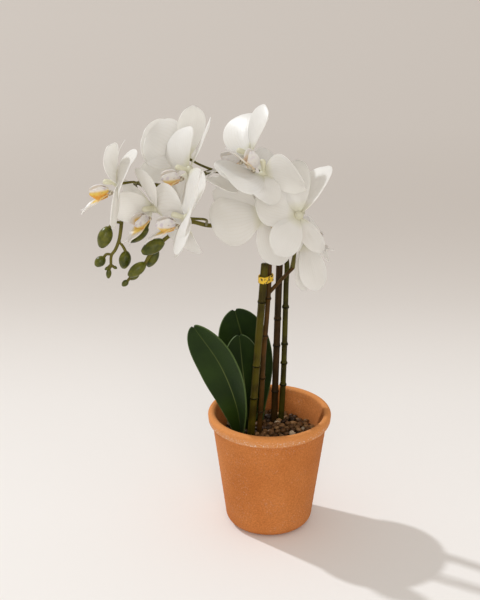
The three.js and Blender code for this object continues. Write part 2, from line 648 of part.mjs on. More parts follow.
// A bed of rounded pebbles over the mix, spread by a sunflower rule with small seeded shifts.
function gravelGeometry() {
  const draw = seededDraw(7);
  const holes = plantHoles();
  const reach = innerRadius(MIX_TOP) - 1.2;
  const bottom = MIX_TOP + GAP;
  const top = GRAVEL_TOP - 2;
  const bed = turned([[0, bottom], [reach - 0.6, bottom], [reach - 0.2, top], [0, top]], POT_SIDES);
  const pieces = [bed];
  for (let i = 0; i < PEBBLE_COUNT; i++) {
    const distance = (reach - PEBBLE_RADIUS) * Math.sqrt((i + 0.5) / PEBBLE_COUNT);
    const turn = i * SUNFLOWER_TURN + draw() * 0.2;
    const place = [Math.cos(turn) * distance, Math.sin(turn) * distance];
    const distanceTo = ({ high }) => Math.hypot(high[0] - place[0], high[1] - place[1]);
    if (holes.some((hole) => distanceTo(hole) < hole.radius + 1.5)) continue;
    const pebble = new THREE.IcosahedronGeometry(PEBBLE_RADIUS, 0);
    pebble.rotateX(draw() * 3).rotateY(draw() * 3);
    pebble.scale(0.8 + draw() * 0.3, 0.8 + draw() * 0.3, 0.62 + draw() * 0.2);
    pebble.translate(...place, GRAVEL_TOP - 1.4 + draw() * 1.6);
    pieces.push(pebble);
  }
  return geometryOf(drilled(fuse(pieces)));
}

// ---- Strap ----

// The outline round two upright rods side by side, a set distance out from both.
function outlineRound([near, far], distance, path) {
  const heading = Math.atan2(far.place[1] - near.place[1], far.place[0] - near.place[0]);
  const apart = Math.hypot(far.place[0] - near.place[0], far.place[1] - near.place[1]);
  const lean = Math.acos((near.radius - far.radius) / apart);
  const wholeTurn = Math.PI * 2;
  const round = heading - lean + wholeTurn;
  path.absarc(near.place[0], near.place[1], near.radius + distance, heading + lean, round);
  path.absarc(far.place[0], far.place[1], far.radius + distance, heading - lean, heading + lean);
  return path;
}

// A soft strap wound once round the front cane and the left stem.
function strapGeometry() {
  const { foot, top, radius } = CANES.cane_front;
  const held = [
    { place: atHeight([foot, top], STRAP_HEIGHT), radius },
    { place: atHeight(LEFT_STEM.upright, STRAP_HEIGHT), radius: STEM_RADIUS },
  ];
  const band = outlineRound(held, 2 * GAP + STRAP_THICKNESS, new THREE.Shape());
  band.holes.push(outlineRound(held, 2 * GAP, new THREE.Path()));
  const settings = { depth: STRAP_WIDTH, curveSegments: 6, bevelEnabled: false };
  const geometry = new THREE.ExtrudeGeometry(band, settings).translate(0, 0, STRAP_HEIGHT - STRAP_WIDTH / 2);
  return geometryOf(solidOf(geometry));
}

// ---- Assembly ----

const MATERIALS = {
  terracotta: { color: 0xc77a48, roughness: 0.85 },
  mix: { color: 0x3b2a1e, roughness: 1 },
  pebble: { color: 0x9a7a5c, roughness: 0.8 },
  cane: { color: 0x4a4320, roughness: 0.6 },
  stem: { color: 0x49401f, roughness: 0.6 },
  leaf: { color: 0x23402a, roughness: 0.45 },
  petal: { color: 0xf2efe8, roughness: 0.6 },
  lip: { color: 0xe3a933, roughness: 0.6 },
  strap: { color: 0xd8a21c, roughness: 0.5 },
};

const orchid = new THREE.Group();

function addPiece(name, geometry, material) {
  geometry.deleteAttribute('normal');
  geometry.deleteAttribute('uv');
  const finish = new THREE.MeshStandardMaterial({ metalness: 0, ...MATERIALS[material] });
  const mesh = new THREE.Mesh(geometry, finish);
  mesh.name = name;
  orchid.add(mesh);
}

addPiece('pot', potGeometry(), 'terracotta');
addPiece('potting_mix', mixGeometry(), 'mix');
addPiece('gravel', gravelGeometry(), 'pebble');
for (const [name, cane] of Object.entries(CANES)) addPiece(name, caneGeometry(cane), 'cane');
addPiece('stem_left', leftStemGeometry(), 'stem');
addPiece('stem_low', lowStemGeometry(), 'stem');
addPiece('strap', strapGeometry(), 'strap');
for (const [name, leaf] of Object.entries(LEAVES)) addPiece(name, leafGeometry(leaf), 'leaf');
for (const [name, bloom] of Object.entries(BLOOMS)) {
  addPiece(`petals_${name}`, petalsGeometry(bloom.bends).applyMatrix4(bloomPlace(bloom)), 'petal');
  addPiece(`lip_${name}`, lipGeometry().applyMatrix4(bloomPlace(bloom)), 'lip');
}

export default orchid;
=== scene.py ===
"""A potted moth orchid, dressed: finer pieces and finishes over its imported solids. Metres, +Z up."""

import math
import random

import bmesh
import bpy
from mathutils import Matrix, Vector, noise


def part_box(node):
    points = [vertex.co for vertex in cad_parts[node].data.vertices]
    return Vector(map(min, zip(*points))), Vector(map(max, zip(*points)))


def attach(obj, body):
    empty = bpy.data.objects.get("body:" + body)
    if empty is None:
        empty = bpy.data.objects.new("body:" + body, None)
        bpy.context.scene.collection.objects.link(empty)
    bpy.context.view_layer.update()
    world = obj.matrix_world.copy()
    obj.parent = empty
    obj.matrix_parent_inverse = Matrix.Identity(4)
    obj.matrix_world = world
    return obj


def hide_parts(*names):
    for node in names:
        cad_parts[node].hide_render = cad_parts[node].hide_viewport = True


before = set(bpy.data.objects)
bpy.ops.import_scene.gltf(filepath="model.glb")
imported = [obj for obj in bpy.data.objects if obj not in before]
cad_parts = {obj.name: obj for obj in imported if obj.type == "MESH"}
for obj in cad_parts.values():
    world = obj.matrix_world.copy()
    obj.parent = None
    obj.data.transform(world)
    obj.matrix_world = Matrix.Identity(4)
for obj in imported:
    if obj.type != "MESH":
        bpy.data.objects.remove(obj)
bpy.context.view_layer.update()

# ---- Camera ----
# A long lens 1.6 m from the plant, looking down on it from the front. The pot stands low in an upright
# picture, right of its middle, and the blooms hang over to the left.

AIM = Vector((-0.0312, 0, 0.256))
LOOKING_DOWN = math.radians(22.8)
DISTANCE = 1.6
LENS = 93.6  # mm, on a frame whose long side is 36 mm

towards_camera = Vector((0, -math.cos(LOOKING_DOWN), math.sin(LOOKING_DOWN)))
camera_turn = (math.pi / 2 - LOOKING_DOWN, 0, 0)
bpy.ops.object.camera_add(location=AIM + towards_camera * DISTANCE, rotation=camera_turn)
camera = bpy.context.object
camera.data.lens = LENS
bpy.context.scene.camera = camera


# ---- Pot ----
# A plain garden pot of fired terracotta, turned on a wheel: a rounded foot, a tapering wall and a thick
# rolled rim, with three holes in the floor. It is unglazed, and chalky salts have dried on the rim's band.

MM = 0.001  # a millimetre in metres
POT_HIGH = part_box("pot")[1]
POT_HEIGHT = POT_HIGH.z
RIM_RADIUS = POT_HIGH.x
RIM_HEIGHT = 13 * MM
RIM_WALL = 8 * MM
WALL_TOP_RADIUS = RIM_RADIUS - 3 * MM
WALL_BASE_RADIUS = 44.8 * MM
WALL_THICKNESS = 6 * MM
FLOOR_THICKNESS = 8 * MM
FOOT_ROUNDING = 12 * MM
DRAIN_RADIUS = 5 * MM
DRAIN_CIRCLE = 22 * MM
DRAIN_HOLES = 3
FINGER_WAVES = 0.1 * MM
POT_SIDES = 144


def select_only(*pieces):
    """Selects these pieces alone; the first is the active one."""
    bpy.ops.object.select_all(action="DESELECT")
    for piece in pieces:
        piece.select_set(True)
    bpy.context.view_layer.objects.active = pieces[0]


def draw_rings(rings, sides):
    """Draws a disc's edge on through rings of (radius, height), which leaves a closed turned shape."""
    bpy.ops.object.select_all(action="DESELECT")
    radius, height = rings[0]
    centre = (0, 0, height)
    bpy.ops.mesh.primitive_circle_add(vertices=sides, radius=radius, fill_type="NGON", location=centre)
    bpy.ops.object.mode_set(mode="EDIT")
    for next_radius, next_height in rings[1:]:
        bpy.ops.mesh.extrude_region_move(TRANSFORM_OT_translate={"value": (0, 0, next_height - height)})
        share = next_radius / radius
        bpy.ops.transform.resize(value=(share, share, 1), center_override=(0, 0, next_height))
        radius, height = next_radius, next_height
    bpy.ops.mesh.select_all(action="SELECT")
    bpy.ops.mesh.normals_make_consistent(inside=False)
    bpy.ops.object.mode_set(mode="OBJECT")
    bpy.ops.object.transform_apply(location=True, rotation=True, scale=True)
    return bpy.context.object


def apply_modifier(piece, kind, **settings):
    """Adds a modifier with these settings and applies it."""
    select_only(piece)
    modifier = piece.modifiers.new(kind.title(), kind)
    for name, value in settings.items():
        setattr(modifier, name, value)
    bpy.ops.object.modifier_apply(modifier=modifier.name)


def dress(piece, name, finish, sharp):
    """Names a piece, gives it one finish, and shades it smooth but for edges past the sharp angle, in
    degrees."""
    piece.name = name
    piece.data.materials.clear()
    piece.data.materials.append(finish)
    select_only(piece)
    bpy.ops.object.shade_smooth_by_angle(angle=math.radians(sharp))


def new_finish(name, roughness, shine=0.5):
    """A material with a Principled shader, returned with that shader."""
    finish = bpy.data.materials.new(name)
    finish.use_nodes = True
    shader = finish.node_tree.nodes["Principled BSDF"]
    shader.inputs["Roughness"].default_value = roughness
    shader.inputs["Specular IOR Level"].default_value = shine
    return finish, shader


def node(kind, inputs, **settings):
    """Adds a node to a finish. Its inputs are given as numbers, colours and the patterns that feed them; the
    patterns say which finish it is."""
    patterns = {name: value for name, value in inputs.items() if isinstance(value, bpy.types.NodeSocket)}
    tree = next(iter(patterns.values())).id_data
    made = tree.nodes.new(kind)
    for name, value in settings.items():
        setattr(made, name, value)
    for name, value in inputs.items():
        if name in patterns:
            tree.links.new(value, made.inputs[name])
        else:
            made.inputs[name].default_value = value
    return made


def feed(shader, name, pattern):
    """Links a pattern to a shader's input."""
    shader.id_data.links.new(pattern, shader.inputs[name])


def object_place(finish):
    """The coordinates that a pattern in a piece's own space reads."""
    return finish.node_tree.nodes.new("ShaderNodeTexCoord").outputs["Object"]


def coordinate(place, axis):
    """How far a place lies along one axis."""
    return node("ShaderNodeSeparateXYZ", {"Vector": place}).outputs[axis]


def grain(place, scale, detail=3.0):
    """A cloudy noise between 0 and 1."""
    inputs = {"Vector": place, "Scale": scale, "Detail": detail}
    return node("ShaderNodeTexNoise", inputs).outputs["Fac"]


def stretch(value, low, high, to_low=0.0, to_high=1.0):
    """Stretches the part of a value between low and high to another range, and clips the rest."""
    inputs = {"Value": value, "From Min": low, "From Max": high, "To Min": to_low, "To Max": to_high}
    return node("ShaderNodeMapRange", inputs).outputs["Result"]


def calculate(operation, first, second=0.0):
    """One step of arithmetic on patterns and numbers."""
    return node("ShaderNodeMath", {0: first, 1: second}, operation=operation).outputs[0]


def times(first, second):
    """The product of two patterns, or of a pattern and a number."""
    return calculate("MULTIPLY", first, second)


def blend(share, first, second, mode="MIX"):
    """Mixes two colours by a share between 0 and 1."""
    inputs = {0: share, 6: first, 7: second}
    return node("ShaderNodeMix", inputs, data_type="RGBA", blend_type=mode).outputs[2]


def tinted(colour, tint):
    """A colour seen through a tint."""
    return blend(1, colour, tint, "MULTIPLY")


def dent(shader, height, distance, strength=1.0):
    """Raises the surface by a height pattern; distance is in metres."""
    bump = node("ShaderNodeBump", {"Height": height, "Distance": distance, "Strength": strength})
    feed(shader, "Normal", bump.outputs["Normal"])


def outer_radius(height):
    """The radius of the tapering wall's outside at a height."""
    return WALL_BASE_RADIUS + (WALL_TOP_RADIUS - WALL_BASE_RADIUS) * height / POT_HEIGHT


def inner_radius(height):
    """The radius of the wall's inside at a height."""
    return outer_radius(height) - WALL_THICKNESS


def arc(centre, radius, start, end, steps):
    """Points on an arc from start to end, in degrees."""
    turns = [math.radians(start + (end - start) * i / steps) for i in range(steps + 1)]
    return [(centre[0] + math.cos(turn) * radius, centre[1] + math.sin(turn) * radius) for turn in turns]


def wall(radius_at, low, high, steps):
    """A wall between two heights, with the faint waves that a potter's fingers leave."""
    heights = [low + (high - low) * i / steps for i in range(steps + 1)]
    return [(radius_at(z) + FINGER_WAVES * math.sin(z * 900) * math.sin(z * 170), z) for z in heights]


rim_foot = POT_HEIGHT - RIM_HEIGHT
rim_edge = RIM_WALL / 2
foot_wall = outer_radius(FOOT_ROUNDING)
pot = draw_rings(
    [
        *arc((foot_wall - FOOT_ROUNDING, FOOT_ROUNDING), FOOT_ROUNDING, -89, -7, 10),
        *wall(outer_radius, FOOT_ROUNDING + 1.5 * MM, rim_foot - 0.6 * MM, 40),
        (outer_radius(rim_foot) + 0.6 * MM, rim_foot + 0.3 * MM),
        (RIM_RADIUS - 1.4 * MM, rim_foot + 1.6 * MM),
        (RIM_RADIUS - 0.5 * MM, rim_foot + 3.6 * MM),
        *arc((RIM_RADIUS - rim_edge, POT_HEIGHT - rim_edge), rim_edge, 0, 180, 14),
        (inner_radius(rim_foot) + 0.4 * MM, rim_foot),
        *wall(inner_radius, rim_foot - 4 * MM, FLOOR_THICKNESS + 8 * MM, 20),
        (inner_radius(FLOOR_THICKNESS) - 7 * MM, FLOOR_THICKNESS),
    ],
    POT_SIDES,
)
for i in range(DRAIN_HOLES):
    turn = 2 * math.pi * i / DRAIN_HOLES
    place = (math.cos(turn) * DRAIN_CIRCLE, math.sin(turn) * DRAIN_CIRCLE, 0)
    bpy.ops.object.select_all(action="DESELECT")
    bpy.ops.mesh.primitive_cylinder_add(
        vertices=40, radius=DRAIN_RADIUS, depth=3 * FLOOR_THICKNESS, location=place
    )
    drill = bpy.context.object
    apply_modifier(pot, "BOOLEAN", operation="DIFFERENCE", object=drill)
    bpy.data.objects.remove(drill)

terracotta, clay = new_finish("terracotta", 0.85, 0.2)
spot = object_place(terracotta)
clouds = stretch(grain(spot, 16), 0.3, 0.7)
fired = blend(clouds, (0.55, 0.178, 0.040, 1), (0.67, 0.245, 0.068, 1))
sand = stretch(grain(spot, 640, 6), 0.3, 0.7)
fired = blend(sand, tinted(fired, (0.72, 0.69, 0.64, 1)), fired)

# Where the salts lie: thick on the outside of the rim's band, thin in patches on the wall.
height = coordinate(spot, "Z")
flat_place = node("ShaderNodeVectorMath", {0: spot, 1: (1, 1, 0)}, operation="MULTIPLY").outputs[0]
from_axis = node("ShaderNodeVectorMath", {0: flat_place}, operation="LENGTH").outputs["Value"]
rim_inside = inner_radius(rim_foot)
outside = stretch(from_axis, rim_inside + 2 * MM, rim_inside + 4 * MM)
on_rim = stretch(height, rim_foot - 1.5 * MM, rim_foot + 2 * MM)
below_roll = stretch(height, rim_foot + 4 * MM, POT_HEIGHT - 3.5 * MM, 1, 0)
on_band = times(times(on_rim, below_roll), outside)
on_wall = times(stretch(grain(spot, 38), 0.45, 0.6), 0.16)
lime_grains = stretch(grain(spot, 620, 6), 0.56, 0.66)
lime = times(lime_grains, calculate("MAXIMUM", on_band, on_wall))
salt_cloud = times(on_band, stretch(grain(spot, 90), 0.35, 0.65))

# Painted highlight: the outside of the rim's band is painted a paler, brighter orange for the light that
# falls on the rim.
painted_rim_highlight = times(times(on_rim, outside), 0.4)
fired = blend(painted_rim_highlight, fired, (0.82, 0.36, 0.115, 1))
fired = blend(times(salt_cloud, 0.28), fired, (0.62, 0.40, 0.27, 1))
fired = blend(times(lime, 0.8), fired, (0.80, 0.66, 0.54, 1))
feed(clay, "Base Color", fired)
turning_inputs = {"Vector": spot, "Scale": 95, "Distortion": 1.2, "Detail": 2}
turning = node("ShaderNodeTexWave", turning_inputs, bands_direction="Z").outputs["Fac"]
relief = calculate("ADD", times(turning, 0.25), sand)
dent(clay, calculate("ADD", relief, lime), 0.12 * MM, 0.6)
dress(pot, "pot_turned", terracotta, 40)
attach(pot, "root")
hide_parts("pot")


# ---- Potting mix ----
# Ground bark that fills the pot to below its rim. Only its dark colour shows between the pebbles, so the
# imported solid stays.

bark, bark_shader = new_finish("bark", 0.95)
spot = object_place(bark)
chips = node("ShaderNodeTexVoronoi", {"Vector": spot, "Scale": 190}).outputs["Color"]
shade = node("ShaderNodeSeparateColor", {"Color": chips}).outputs["Red"]
feed(bark_shader, "Base Color", blend(shade, (0.018, 0.010, 0.006, 1), (0.085, 0.045, 0.022, 1)))
dent(bark_shader, shade, 1 * MM)
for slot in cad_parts["potting_mix"].material_slots:
    slot.material = bark


# ---- Pebbles ----
# Small washed stones, brown and tan with a few pale ones, poured loose over the mix round the leaves, canes
# and stems. They lie in two layers on a thin disc of bark.

MIX_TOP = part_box("potting_mix")[1].z
PEBBLE_REACH = inner_radius(MIX_TOP) - 1 * MM
PEBBLE_SIZES = (2.7 * MM, 4.5 * MM)
PEBBLE_LAYERS = ((290, 3.0 * MM), (330, 6.0 * MM))  # at most how many pebbles, and how high they lie
PLACES_TRIED = 9  # for each pebble of a layer
CLOSEST = 0.86  # how near two pebbles may lie, as a share of their two radii together
STANDING = {  # what stands in the pot: where it passes the pebbles, and its radius there
    "cane_front": (-19.4, -9.1, 4.2), "cane_back": (5.5, 30.3, 3.5), "stem_left": (-10.8, 1, 3.1),
    "stem_low": (13.1, 32.2, 3.1), "leaf_front": (-29.5, -10.4, 7.5), "leaf_middle": (-22.5, 11.2, 7),
    "leaf_rear": (-13, 36.5, 9.5),
}

draw = random.Random(11)


def pebble_shape(seed):
    """One stone: a ball pushed about by a soft noise, so that it has blunt corners."""
    bpy.ops.object.select_all(action="DESELECT")
    bpy.ops.mesh.primitive_ico_sphere_add(subdivisions=2, radius=1)
    stone = bpy.context.object
    for vertex in stone.data.vertices:
        vertex.co *= 1 + 0.34 * noise.noise(vertex.co * 1.1 + Vector((seed * 7.3, 0, 0)))
    shape = stone.data.copy()
    bpy.data.objects.remove(stone)
    return shape


def stands_clear(x, y, radius):
    """Whether a pebble leaves room for all that stands in the pot."""
    for other_x, other_y, other_radius in STANDING.values():
        if math.hypot(x - other_x * MM, y - other_y * MM) <= radius * 0.75 + other_radius * MM:
            return False
    return True


def lies_clear(x, y, radius, laid):
    """Whether a pebble is far enough from those that are laid."""
    for other_x, other_y, other_radius in laid:
        if math.hypot(x - other_x, y - other_y) < CLOSEST * (radius + other_radius):
            return False
    return True


def place_in_scene(name, shape):
    """A new object that shows a mesh or a curve."""
    made = bpy.data.objects.new(name, shape)
    bpy.context.scene.collection.objects.link(made)
    return made


def kept_value(finish, name, output="Fac"):
    """A value or colour that a piece keeps for each of its points."""
    reader = finish.node_tree.nodes.new("ShaderNodeAttribute")
    reader.attribute_name = name
    return reader.outputs[output]


def colour_ramp(share, stops, between):
    """A colour read by a share from stops of (place, red, green, blue), the first at 0 and the last at 1."""
    made = node("ShaderNodeValToRGB", {"Fac": share})
    made.color_ramp.interpolation = between
    for place, *_ in stops[1:-1]:
        made.color_ramp.elements.new(place)
    for element, (_, *colour) in zip(made.color_ramp.elements, stops):
        element.color = (*colour, 1)
    return made.outputs["Color"]


pebble_shapes = [pebble_shape(seed) for seed in range(6)]
heap = bmesh.new()
tone_layer = heap.verts.layers.float.new("tone")
for most, above in PEBBLE_LAYERS:
    laid = []
    for _ in range(most * PLACES_TRIED):
        size = draw.uniform(*PEBBLE_SIZES)
        distance = (PEBBLE_REACH - size) * math.sqrt(draw.random())
        turn = draw.uniform(0, 2 * math.pi)
        x, y = math.cos(turn) * distance, math.sin(turn) * distance
        if len(laid) >= most or not stands_clear(x, y, size) or not lies_clear(x, y, size, laid):
            continue
        laid.append((x, y, size))
        place = Matrix.Translation((x, y, MIX_TOP + above + draw.uniform(-0.8, 1.2) * MM))
        turned = Matrix.Rotation(draw.uniform(0, 6.3), 4, Vector([draw.uniform(-1, 1) for _ in range(3)]))
        flat = Matrix.Diagonal((size, size * draw.uniform(0.75, 1), size * draw.uniform(0.6, 0.85), 1))
        lean = Matrix.Rotation(draw.uniform(-0.4, 0.4), 4, "X")
        before = len(heap.verts)
        heap.from_mesh(draw.choice(pebble_shapes))
        heap.verts.ensure_lookup_table()
        tone = draw.random()
        for vertex in heap.verts[before:]:
            vertex.co = place @ lean @ flat @ turned @ vertex.co
            vertex[tone_layer] = tone
pebble_mesh = bpy.data.meshes.new("pebbles")
heap.to_mesh(pebble_mesh)
heap.free()
pebbles = place_in_scene("pebbles", pebble_mesh)

STONE_COLOURS = (
    (0, 0.026, 0.012, 0.004),
    (0.22, 0.105, 0.047, 0.014),
    (0.48, 0.24, 0.120, 0.042),
    (0.72, 0.47, 0.27, 0.12),
    (0.86, 0.10, 0.052, 0.022),
    (1, 0.78, 0.62, 0.43),
)
stone_finish, stone_shader = new_finish("pebble_stone", 0.5, 0.3)
spot = object_place(stone_finish)
stone = colour_ramp(kept_value(stone_finish, "tone"), STONE_COLOURS, "CARDINAL")
speckle = stretch(grain(spot, 1400, 4), 0.35, 0.65)
dusty = blend(speckle, tinted(stone, (0.6, 0.57, 0.54, 1)), stone)
feed(stone_shader, "Base Color", dusty)
dent(stone_shader, speckle, 0.15 * MM, 0.5)
dress(pebbles, "pebbles", stone_finish, 50)

# A thin disc of bark under the stones closes the gaps between them.
pebble_bed = draw_rings(
    [
        (PEBBLE_REACH - 0.6 * MM, MIX_TOP + 0.3 * MM),
        (PEBBLE_REACH, MIX_TOP + 1 * MM),
        (PEBBLE_REACH, MIX_TOP + 2 * MM),
    ],
    64,
)
pebble_bed.name = "pebble_bed"
pebble_bed.data.materials.append(bark)
for piece in (pebbles, pebble_bed):
    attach(piece, "root")
    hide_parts("gravel")


# ---- Canes ----
# Two straight bamboo canes pushed into the mix to hold the flower stems up: the left one thick and olive,
# the right one thinner and darker. Each is a little swollen at its joints.

CANES = {
    "cane_front": {"foot": (-22.9, -11.5, 60), "top": (-6, 0, 296), "radius": 3.8, "joints": (148, 184, 255)},
    "cane_back": {"foot": (4.6, 31, 60), "top": (9.8, 27, 290), "radius": 3.5, "joints": (138, 192, 223)},
}
CANE_COLOURS = {
    "cane_front": ((0.070, 0.058, 0.003, 1), (0.020, 0.013, 0.002, 1)),
    "cane_back": ((0.034, 0.015, 0.004, 1), (0.010, 0.005, 0.002, 1)),
}
# The skin round a joint: shares of the cane's radius, and millimetres from the joint's middle.
CANE_JOINT = ((1, -3), (1.03, -1.6), (1.19, -0.5), (0.98, 0), (1.15, 0.6), (1.02, 1.8), (1, 3))


def point(numbers):
    """A place given in millimetres."""
    return Vector(numbers) * MM


def stand_up(piece, foot, direction):
    """Turns a piece that was made along +Z to run along a direction from its foot, and fixes it there."""
    turned = Vector(direction).to_track_quat("Z", "Y").to_matrix().to_4x4()
    piece.data.transform(Matrix.Translation(foot) @ turned)


def cane_finish(name, light, dark, joints=()):
    """Smooth skin with fine fibres along it, dark stains, and a dark line at each joint's height."""
    finish, shader = new_finish(name, 0.5, 0.12)
    place = object_place(finish)
    fibres = node("ShaderNodeMapping", {"Vector": place, "Scale": (1, 1, 0.03)}).outputs["Vector"]
    streaks = stretch(grain(fibres, 900, 4), 0.3, 0.7)
    stains = stretch(grain(place, 60, 4), 0.42, 0.62)
    colour = blend(times(stains, 0.75), light, dark)
    colour = blend(times(streaks, 0.16), colour, (0.13, 0.085, 0.012, 1))
    height = coordinate(place, "Z")
    for joint in joints:
        away = calculate("ABSOLUTE", calculate("SUBTRACT", height, joint * MM))
        line = stretch(away, 0.3 * MM, 1.1 * MM, 0.85, 0)
        colour = blend(line, colour, (0.008, 0.006, 0.002, 1))
    feed(shader, "Base Color", colour)
    dent(shader, streaks, 0.08 * MM, 0.5)
    return finish


for name, cane in CANES.items():
    foot, top, radius = point(cane["foot"]), point(cane["top"]), cane["radius"] * MM
    length = (top - foot).length
    rings = [(radius, 0)]
    for joint in cane["joints"]:
        middle = length * (joint - cane["foot"][2]) / (cane["top"][2] - cane["foot"][2])
        rings += [(radius * swell, middle + above * MM) for swell, above in CANE_JOINT]
    rings += [(radius, length - 0.6 * MM), (radius * 0.85, length)]
    skin = draw_rings(rings, 28)
    stand_up(skin, foot, top - foot)
    dress(skin, name + "_skin", cane_finish(name + "_finish", *CANE_COLOURS[name], cane["joints"]), 50)
    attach(skin, "root")
    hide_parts(name)


# ---- Flower stems and buds ----
# Each stem grows up beside its cane, arches over to the left with a stalk for each bloom, and ends in a
# zigzag spray of fat olive buds. Scars ring it at its joints. A short branch of the left stem carries the
# blooms at the right.

LEFT_STEM = {
    "upright": ((-12.6, 1, 60), (-10.4, 1, 111), (-8.6, 1, 143), (-6.6, 1, 193), (-3.2, 1.3, 242),
                (-1.2, 3.7, 284), (-2, 24, 325), (-14, 38, 362), (-36, 38, 378)),
    "arch": ((-36, 38, 378), (-57, 36, 383), (-70, 34, 380), (-84, 32, 374), (-102, 34, 368),
             (-120, 40, 367), (-137, 41, 368), (-148, 30, 354), (-151, 10, 344), (-150, -3, 341)),
    "joints": (128, 167, 216, 258),
}
LOW_STEM = {
    "upright": ((10.5, 33, 60), (13.8, 32, 115), (15.5, 31, 167), (16.3, 30, 218), (16.8, 30, 258),
                (17, 33, 287), (8, 44, 314), (-14, 34, 331), (-30, 18, 336)),
    "arch": ((-30, 18, 336), (-46, 5, 337), (-62, -2, 338), (-83, -8, 344), (-93, -14, 339), (-99, -18, 334)),
    "joints": (145, 170, 194, 236),
}
SIDE_BRANCH = ((-2.4, 2.2, 262), (4, -1, 271), (12, -3, 281), (23, -3, 293))
STEM_RADIUS = 2.7  # millimetres, as are the places on the stems
ARCH_RADIUS = 2.1
STALK_RADIUS = 1.5
# A spray's spine, and its twigs: the path of each, the tip of its bud and the bud's radius.
LEFT_BUDS = {
    "spine": ((-150, 1.5, 343), (-151, -5, 333), (-153, -5, 323), (-157, -5, 313), (-161, -5, 307),
              (-162, -5, 294)),
    "twigs": (
        (((-150.3, -0.4, 340), (-156, -5, 342.5), (-163, -7, 337)), (-171, -9, 317), 7.6),
        (((-153, -5, 322), (-149, -6, 317), (-146, -7, 311)), (-149, -8, 294), 6.4),
        (((-161, -5, 308), (-166, -6, 308.5), (-169, -7, 305)), (-177, -9, 297), 5.4),
        (((-162, -5, 296), (-164, -5, 291)), (-165, -5, 282), 2.9),
        (((-162, -5, 297), (-165, -6, 294)), (-168, -7, 292), 1.8),
        (((-162, -5, 297), (-159, -4, 294)), (-156, -3, 292), 1.8),
        (((-138, 40, 366), (-131, 33, 352), (-124, 22, 337), (-126, 16.5, 328.5)), (-145, 15, 314.5), 7),
    ),
}
LOW_BUDS = {
    "spine": ((-97, -17, 336), (-110, -18, 326), (-117, -18, 317), (-123, -18, 310), (-127, -18, 302),
              (-134, -18, 296), (-140, -18, 290), (-145, -18, 284)),
    "twigs": (
        (((-103, -18, 331), (-108, -21, 328)), (-129, -24, 317), 7.4),
        (((-112, -18, 324), (-115, -13, 316)), (-124, -10, 297), 6),
        (((-124, -18, 308), (-127, -21, 304)), (-143, -24, 292), 6.2),
        (((-133, -18, 297), (-134, -15, 291)), (-143, -12, 284), 3.8),
        (((-143, -18, 286), (-145, -18, 284)), (-150, -18, 279), 3.2),
    ),
}


def curve_through(places, per_stretch=10):
    """Points in metres along the smooth centripetal curve through places given in millimetres."""
    knots = [point(place) for place in places]
    if len(knots) == 2:
        return [knots[0].lerp(knots[1], i / per_stretch) for i in range(per_stretch + 1)]
    knots = [2 * knots[0] - knots[1], *knots, 2 * knots[-1] - knots[-2]]
    line = []
    for before, start, end, after in zip(knots, knots[1:], knots[2:], knots[3:]):
        pairs = ((before, start), (start, end), (end, after))
        first, middle, last = ((b - a).length ** 0.5 for a, b in pairs)
        leaving = (start - before) / first - (end - before) / (first + middle) + (end - start) / middle
        arriving = (end - start) / middle - (after - start) / (middle + last) + (after - end) / last
        leaving, arriving = leaving * middle, arriving * middle
        for i in range(per_stretch):
            t = i / per_stretch
            bend = 3 * (end - start) - 2 * leaving - arriving
            swing = 2 * (start - end) + leaving + arriving
            line.append(start + leaving * t + bend * t * t + swing * t ** 3)
    return [*line, knots[-2]]


def along(line, share):
    """The place at a share of a line's whole length."""
    lengths = [(b - a).length for a, b in zip(line, line[1:])]
    wanted = share * sum(lengths)
    for length, start, end in zip(lengths, line, line[1:]):
        if wanted <= length:
            return start.lerp(end, wanted / length)
        wanted -= length
    return line[-1]


def grow(line, radius_at, roundness=4):
    """A round stem along a line: radius_at gives its radius in millimetres at each share of the line."""
    drawn = bpy.data.curves.new("stem", "CURVE")
    drawn.dimensions = "3D"
    spline = drawn.splines.new("POLY")
    spline.points.add(len(line) - 1)
    for i, (knot, place) in enumerate(zip(spline.points, line)):
        knot.co = (*place, 1)
        knot.radius = radius_at(i / (len(line) - 1))
    drawn.bevel_depth = MM
    drawn.bevel_resolution = roundness
    drawn.use_fill_caps = True
    select_only(place_in_scene("stem", drawn))
    bpy.ops.object.convert(target="MESH")
    return bpy.context.object


def joined(pieces, name):
    """Joins pieces to one object with its place in its mesh."""
    select_only(*pieces)
    if len(pieces) > 1:
        bpy.ops.object.join()
    bpy.ops.object.transform_apply(location=True, rotation=True, scale=True)
    bpy.context.object.name = name
    return bpy.context.object


# The radius and height of a scar's ring, from below to above.
SCAR = ((2.3, -2.8), (2.9, -1.6), (3.5, -0.3), (2.9, 0.1), (3.2, 0.8), (2.8, 1.8), (2.3, 2.6))


def scar(line, height, size=1.0):
    """A swollen ring round a stem with a papery edge, at a height in millimetres."""
    place = min(line, key=lambda at: abs(at.z - height * MM))
    ring = draw_rings([(radius * MM, above * MM) for radius, above in SCAR], 20)
    ring.data.transform(Matrix.Diagonal((size, size, 1, 1)))
    stand_up(ring, place, (0.02, 0, 1))
    return ring


BUD_SINKS_IN = 1.2 * MM  # how far a bud reaches over the end of its twig


